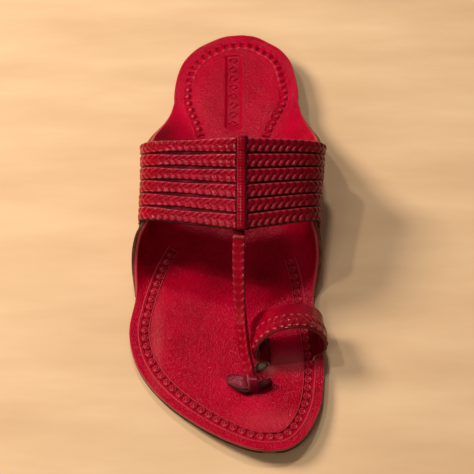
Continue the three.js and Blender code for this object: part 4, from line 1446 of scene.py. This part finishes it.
# Knot: a flat tab with a rolled front edge, a wrap over the strap's end and a rolled tail
RIBBON_COLUMNS = 15
RIBBON_ROUND = 0.3
RIBBON_WEAR = (-0.9, -0.55)
# Middle across, station from the knot, half width, top's height over the footbed, rear side's extra height
TAB_ROWS = [
    (-6.0, -1.9, 1.2, 1.9, 0.1), (-4.6, -1.6, 2.4, 2.3, 0.3), (-2.0, -0.8, 3.1, 2.9, 0.6),
    (1.0, 0.4, 3.7, 3.5, 0.9), (3.8, 1.3, 3.8, 3.9, 0.8), (6.5, 1.4, 3.4, 3.6, 0.5),
]
TAB_THICKNESS = 2.2
# Station from the knot and height of the top face over the footbed
WRAP_ROWS = [
    (-3.9, 0.4), (-3.6, 3.4), (-1.9, 5.9), (0.8, 6.7), (3.2, 6.1), (5.1, 4.0), (5.9, 1.4), (5.8, -1.0),
]
WRAP_MIDDLE = 8.3
WRAP_HALF = 2.8
WRAP_THICKNESS = 1.5
WRAP_SLANT = 0.12
WRAP_TURN = 0.08
# Widening over the top: its share, middle station and half width
WRAP_WIDER = (0.12, 1, 3)
# Middle across, station from the knot, height of the middle over the footbed, radius
TAIL_ROWS = [
    (10.0, 3.6, 2.4, 1.6), (12.5, 3.1, 2.3, 2.1), (15.0, 2.0, 2.4, 2.1), (17.2, 0.9, 2.6, 1.9),
    (18.6, 0.2, 2.7, 1.5),
]
TAB_FOLD_ROWS = [
    (-4.8, 0.6, 0.8, 0.5), (-2.4, 2.5, 1.0, 0.9), (0.4, 4.2, 1.2, 1.2), (3.0, 5.3, 1.4, 1.3),
    (5.0, 5.6, 1.5, 1.1), (6.6, 5.2, 1.5, 0.7),
]
ROLL_FLAT = np.array([0.35, 1.15, 0])
ROLL_UP = np.array([0, 0, 0.85])
# Depth, angle and half width of each crease
ROLL_CREASES = [(0.3, 1.9, 0.25), (0.15, 4.0, 0.3)]


def ribbon(name, centres, across, halves, thickness, materials, wear_and_highlight):
    """Strip through centres of its top face: across points along its half width; the last argument pales its
    first side's cut edge.
    """
    centres, across = np.array(centres, float), np.array(across, float)
    tangent = unit(np.gradient(centres, axis=0))
    across = unit(across - tangent * np.einsum("ij,ij->i", across, tangent)[:, None])
    up = np.cross(across, tangent)
    up *= np.where(up[:, 2:3] < -0.2, -1, 1)
    shares = np.sin(np.linspace(-math.pi / 2, math.pi / 2, RIBBON_COLUMNS))
    rings = []
    for centre, side, rise, half in zip(centres, across, up, halves):
        outer = [centre + side * half * s - rise * (RIBBON_ROUND * abs(s) ** 6) for s in shares]
        inner = [centre + side * half * s - rise * thickness for s in shares[::-3]]
        rings.append(outer + inner)
    sides = (RIBBON_COLUMNS - 1, len(rings[0]) - 1)
    wear = np.zeros((len(rings), len(rings[0])))
    wear[:, :RIBBON_COLUMNS] = wear_and_highlight * (1 - smoothstep(*RIBBON_WEAR, shares))
    return loft(name, rings, materials, sides, sharp=60, paint={"wear_and_highlight": wear})


def over_footbed(across, beyond, height):
    station = KNOT_AT + beyond
    return (across, station, float(footbed(station)) + height)


def make_tab():
    rows = smooth_rows(TAB_ROWS, 10)
    centres = [over_footbed(x, s, h) for x, s, _, h, _ in rows]
    across = [(0, -half, rear / 2) for _, _, half, _, rear in rows]
    return ribbon("knot_tab", centres, across, rows[:, 2], TAB_THICKNESS, [tie_leather, ear_edge], wear_and_highlight=0.25)


def make_wrap():
    rows = smooth_rows(WRAP_ROWS, 8)
    centres = [over_footbed(WRAP_MIDDLE + WRAP_SLANT * s, s, h) for s, h in rows]
    across = [(1, WRAP_TURN, 0)] * len(rows)
    halves = WRAP_HALF * (1 + WRAP_WIDER[0] * bell(rows[:, 0], *WRAP_WIDER[1:]))
    return ribbon("knot_wrap", centres, across, halves, WRAP_THICKNESS, [tie_leather, rim_edge], wear_and_highlight=0.6)


def make_roll(name, rows, material):
    """Rolled strip with two creases along it."""
    rings = []
    for x, s, h, radius in smooth_rows(rows, 10):
        centre = np.array(over_footbed(x, s, h))
        ring = []
        for angle in np.linspace(0, 2 * math.pi, 29)[:-1]:
            reach = radius * (1 - sum(depth * bell(angle, *crease) for depth, *crease in ROLL_CREASES))
            ring.append(centre + ROLL_FLAT * reach * math.cos(angle) + ROLL_UP * reach * math.sin(angle))
        rings.append(ring)
    return loft(name, rings, [material], sharp=60)


dress(make_tab())
dress(make_wrap(), "toe_knot")
dress(make_roll("knot_tail", TAIL_ROWS, tail_leather))
dress(make_roll("knot_fold", TAB_FOLD_ROWS, strip_edge))

# Floor
STREAK_SCALE = 8
STREAK_STRETCH = (1.0, 4.5, 1.0)
STREAK_TURN = math.radians(-4)
FLOOR_STOPS = [(0.3, (0.585, 0.36, 0.18)), (0.5, (0.64, 0.402, 0.207)), (0.7, (0.695, 0.452, 0.242))]
bpy.ops.mesh.primitive_plane_add(size=6)
floor = bpy.context.object
floor.name = "floor"
floor_material, floor_tree, floor_shader = new_material("pale_floor")
boards = add_node(floor_tree, "Mapping", "Vector", {
    "Vector": add_node(floor_tree, "TexCoord", "Object"),
    "Scale": STREAK_STRETCH,
    "Rotation": (0.0, 0.0, STREAK_TURN),
})
streaks = noise(floor_tree, STREAK_SCALE, boards, 4.0, 0.55)
feed(floor_tree, floor_shader, {"Base Color": ramp(floor_tree, streaks, FLOOR_STOPS), "Roughness": 0.7})
floor.data.materials.append(floor_material)


# Soft studio lights
LIGHT_COLOUR = (1.0, 0.97, 0.95)
SKY_COLOUR = (1.0, 0.96, 0.92)
SKY_STRENGTH = 0.145


def area_light(name, place, target, size, power, mirrored=True):
    """A disk light; one that isn't mirrored gives no highlights on glossy leather."""
    data = bpy.data.lights.new(name, "AREA")
    data.shape = "DISK"
    data.size = size
    data.energy = power
    data.color = LIGHT_COLOUR
    light = bpy.data.objects.new(name, data)
    light.location = place
    light.visible_glossy = mirrored
    light.rotation_euler = (Vector(target) - Vector(place)).to_track_quat("-Z", "Y").to_euler()
    bpy.context.scene.collection.objects.link(light)


area_light("key", (-1.0, 0.42, 0.87), (0, 0, 0.02), 0.45, 22, mirrored=False)
area_light("gloss", (-0.1, 0.82, 1.6), (0, -0.09, 0), 0.22, 9)
area_light("sheen", (-0.74, 0.34, 1.5), (-0.02, 0, 0.05), 0.1, 5)
area_light("fill", (-0.45, -0.85, 0.95), (0, -0.03, 0), 0.5, 2.8, mirrored=False)
world = bpy.data.worlds.new("studio")
world.use_nodes = True
background = world.node_tree.nodes["Background"]
feed(world.node_tree, background, {"Color": (*SKY_COLOUR, 1), "Strength": SKY_STRENGTH})
bpy.context.scene.world = world
bpy.context.scene.view_settings.view_transform = "Standard"

# Camera: the photograph's angle to the sandal, fitted to the sole's outline
CAMERA_ELEVATION = math.radians(56)
CAMERA_DISTANCE = 1000.0
CAMERA_TARGET = (0.0, 144.35, 7.0)
FOCAL_PIXELS = 1766.7
IMAGE_PIXELS = 474
SENSOR = 36.0
camera_data = bpy.data.cameras.new("camera")
camera_data.sensor_width = SENSOR
camera_data.lens = SENSOR * FOCAL_PIXELS / IMAGE_PIXELS
camera = bpy.data.objects.new("camera", camera_data)
camera.location = to_frame((
    CAMERA_TARGET[0],
    CAMERA_TARGET[1] + CAMERA_DISTANCE * math.cos(CAMERA_ELEVATION),
    CAMERA_TARGET[2] + CAMERA_DISTANCE * math.sin(CAMERA_ELEVATION),
))
camera.rotation_euler = (math.pi / 2 - CAMERA_ELEVATION, 0, 0)
bpy.context.scene.collection.objects.link(camera)
bpy.context.scene.camera = camera
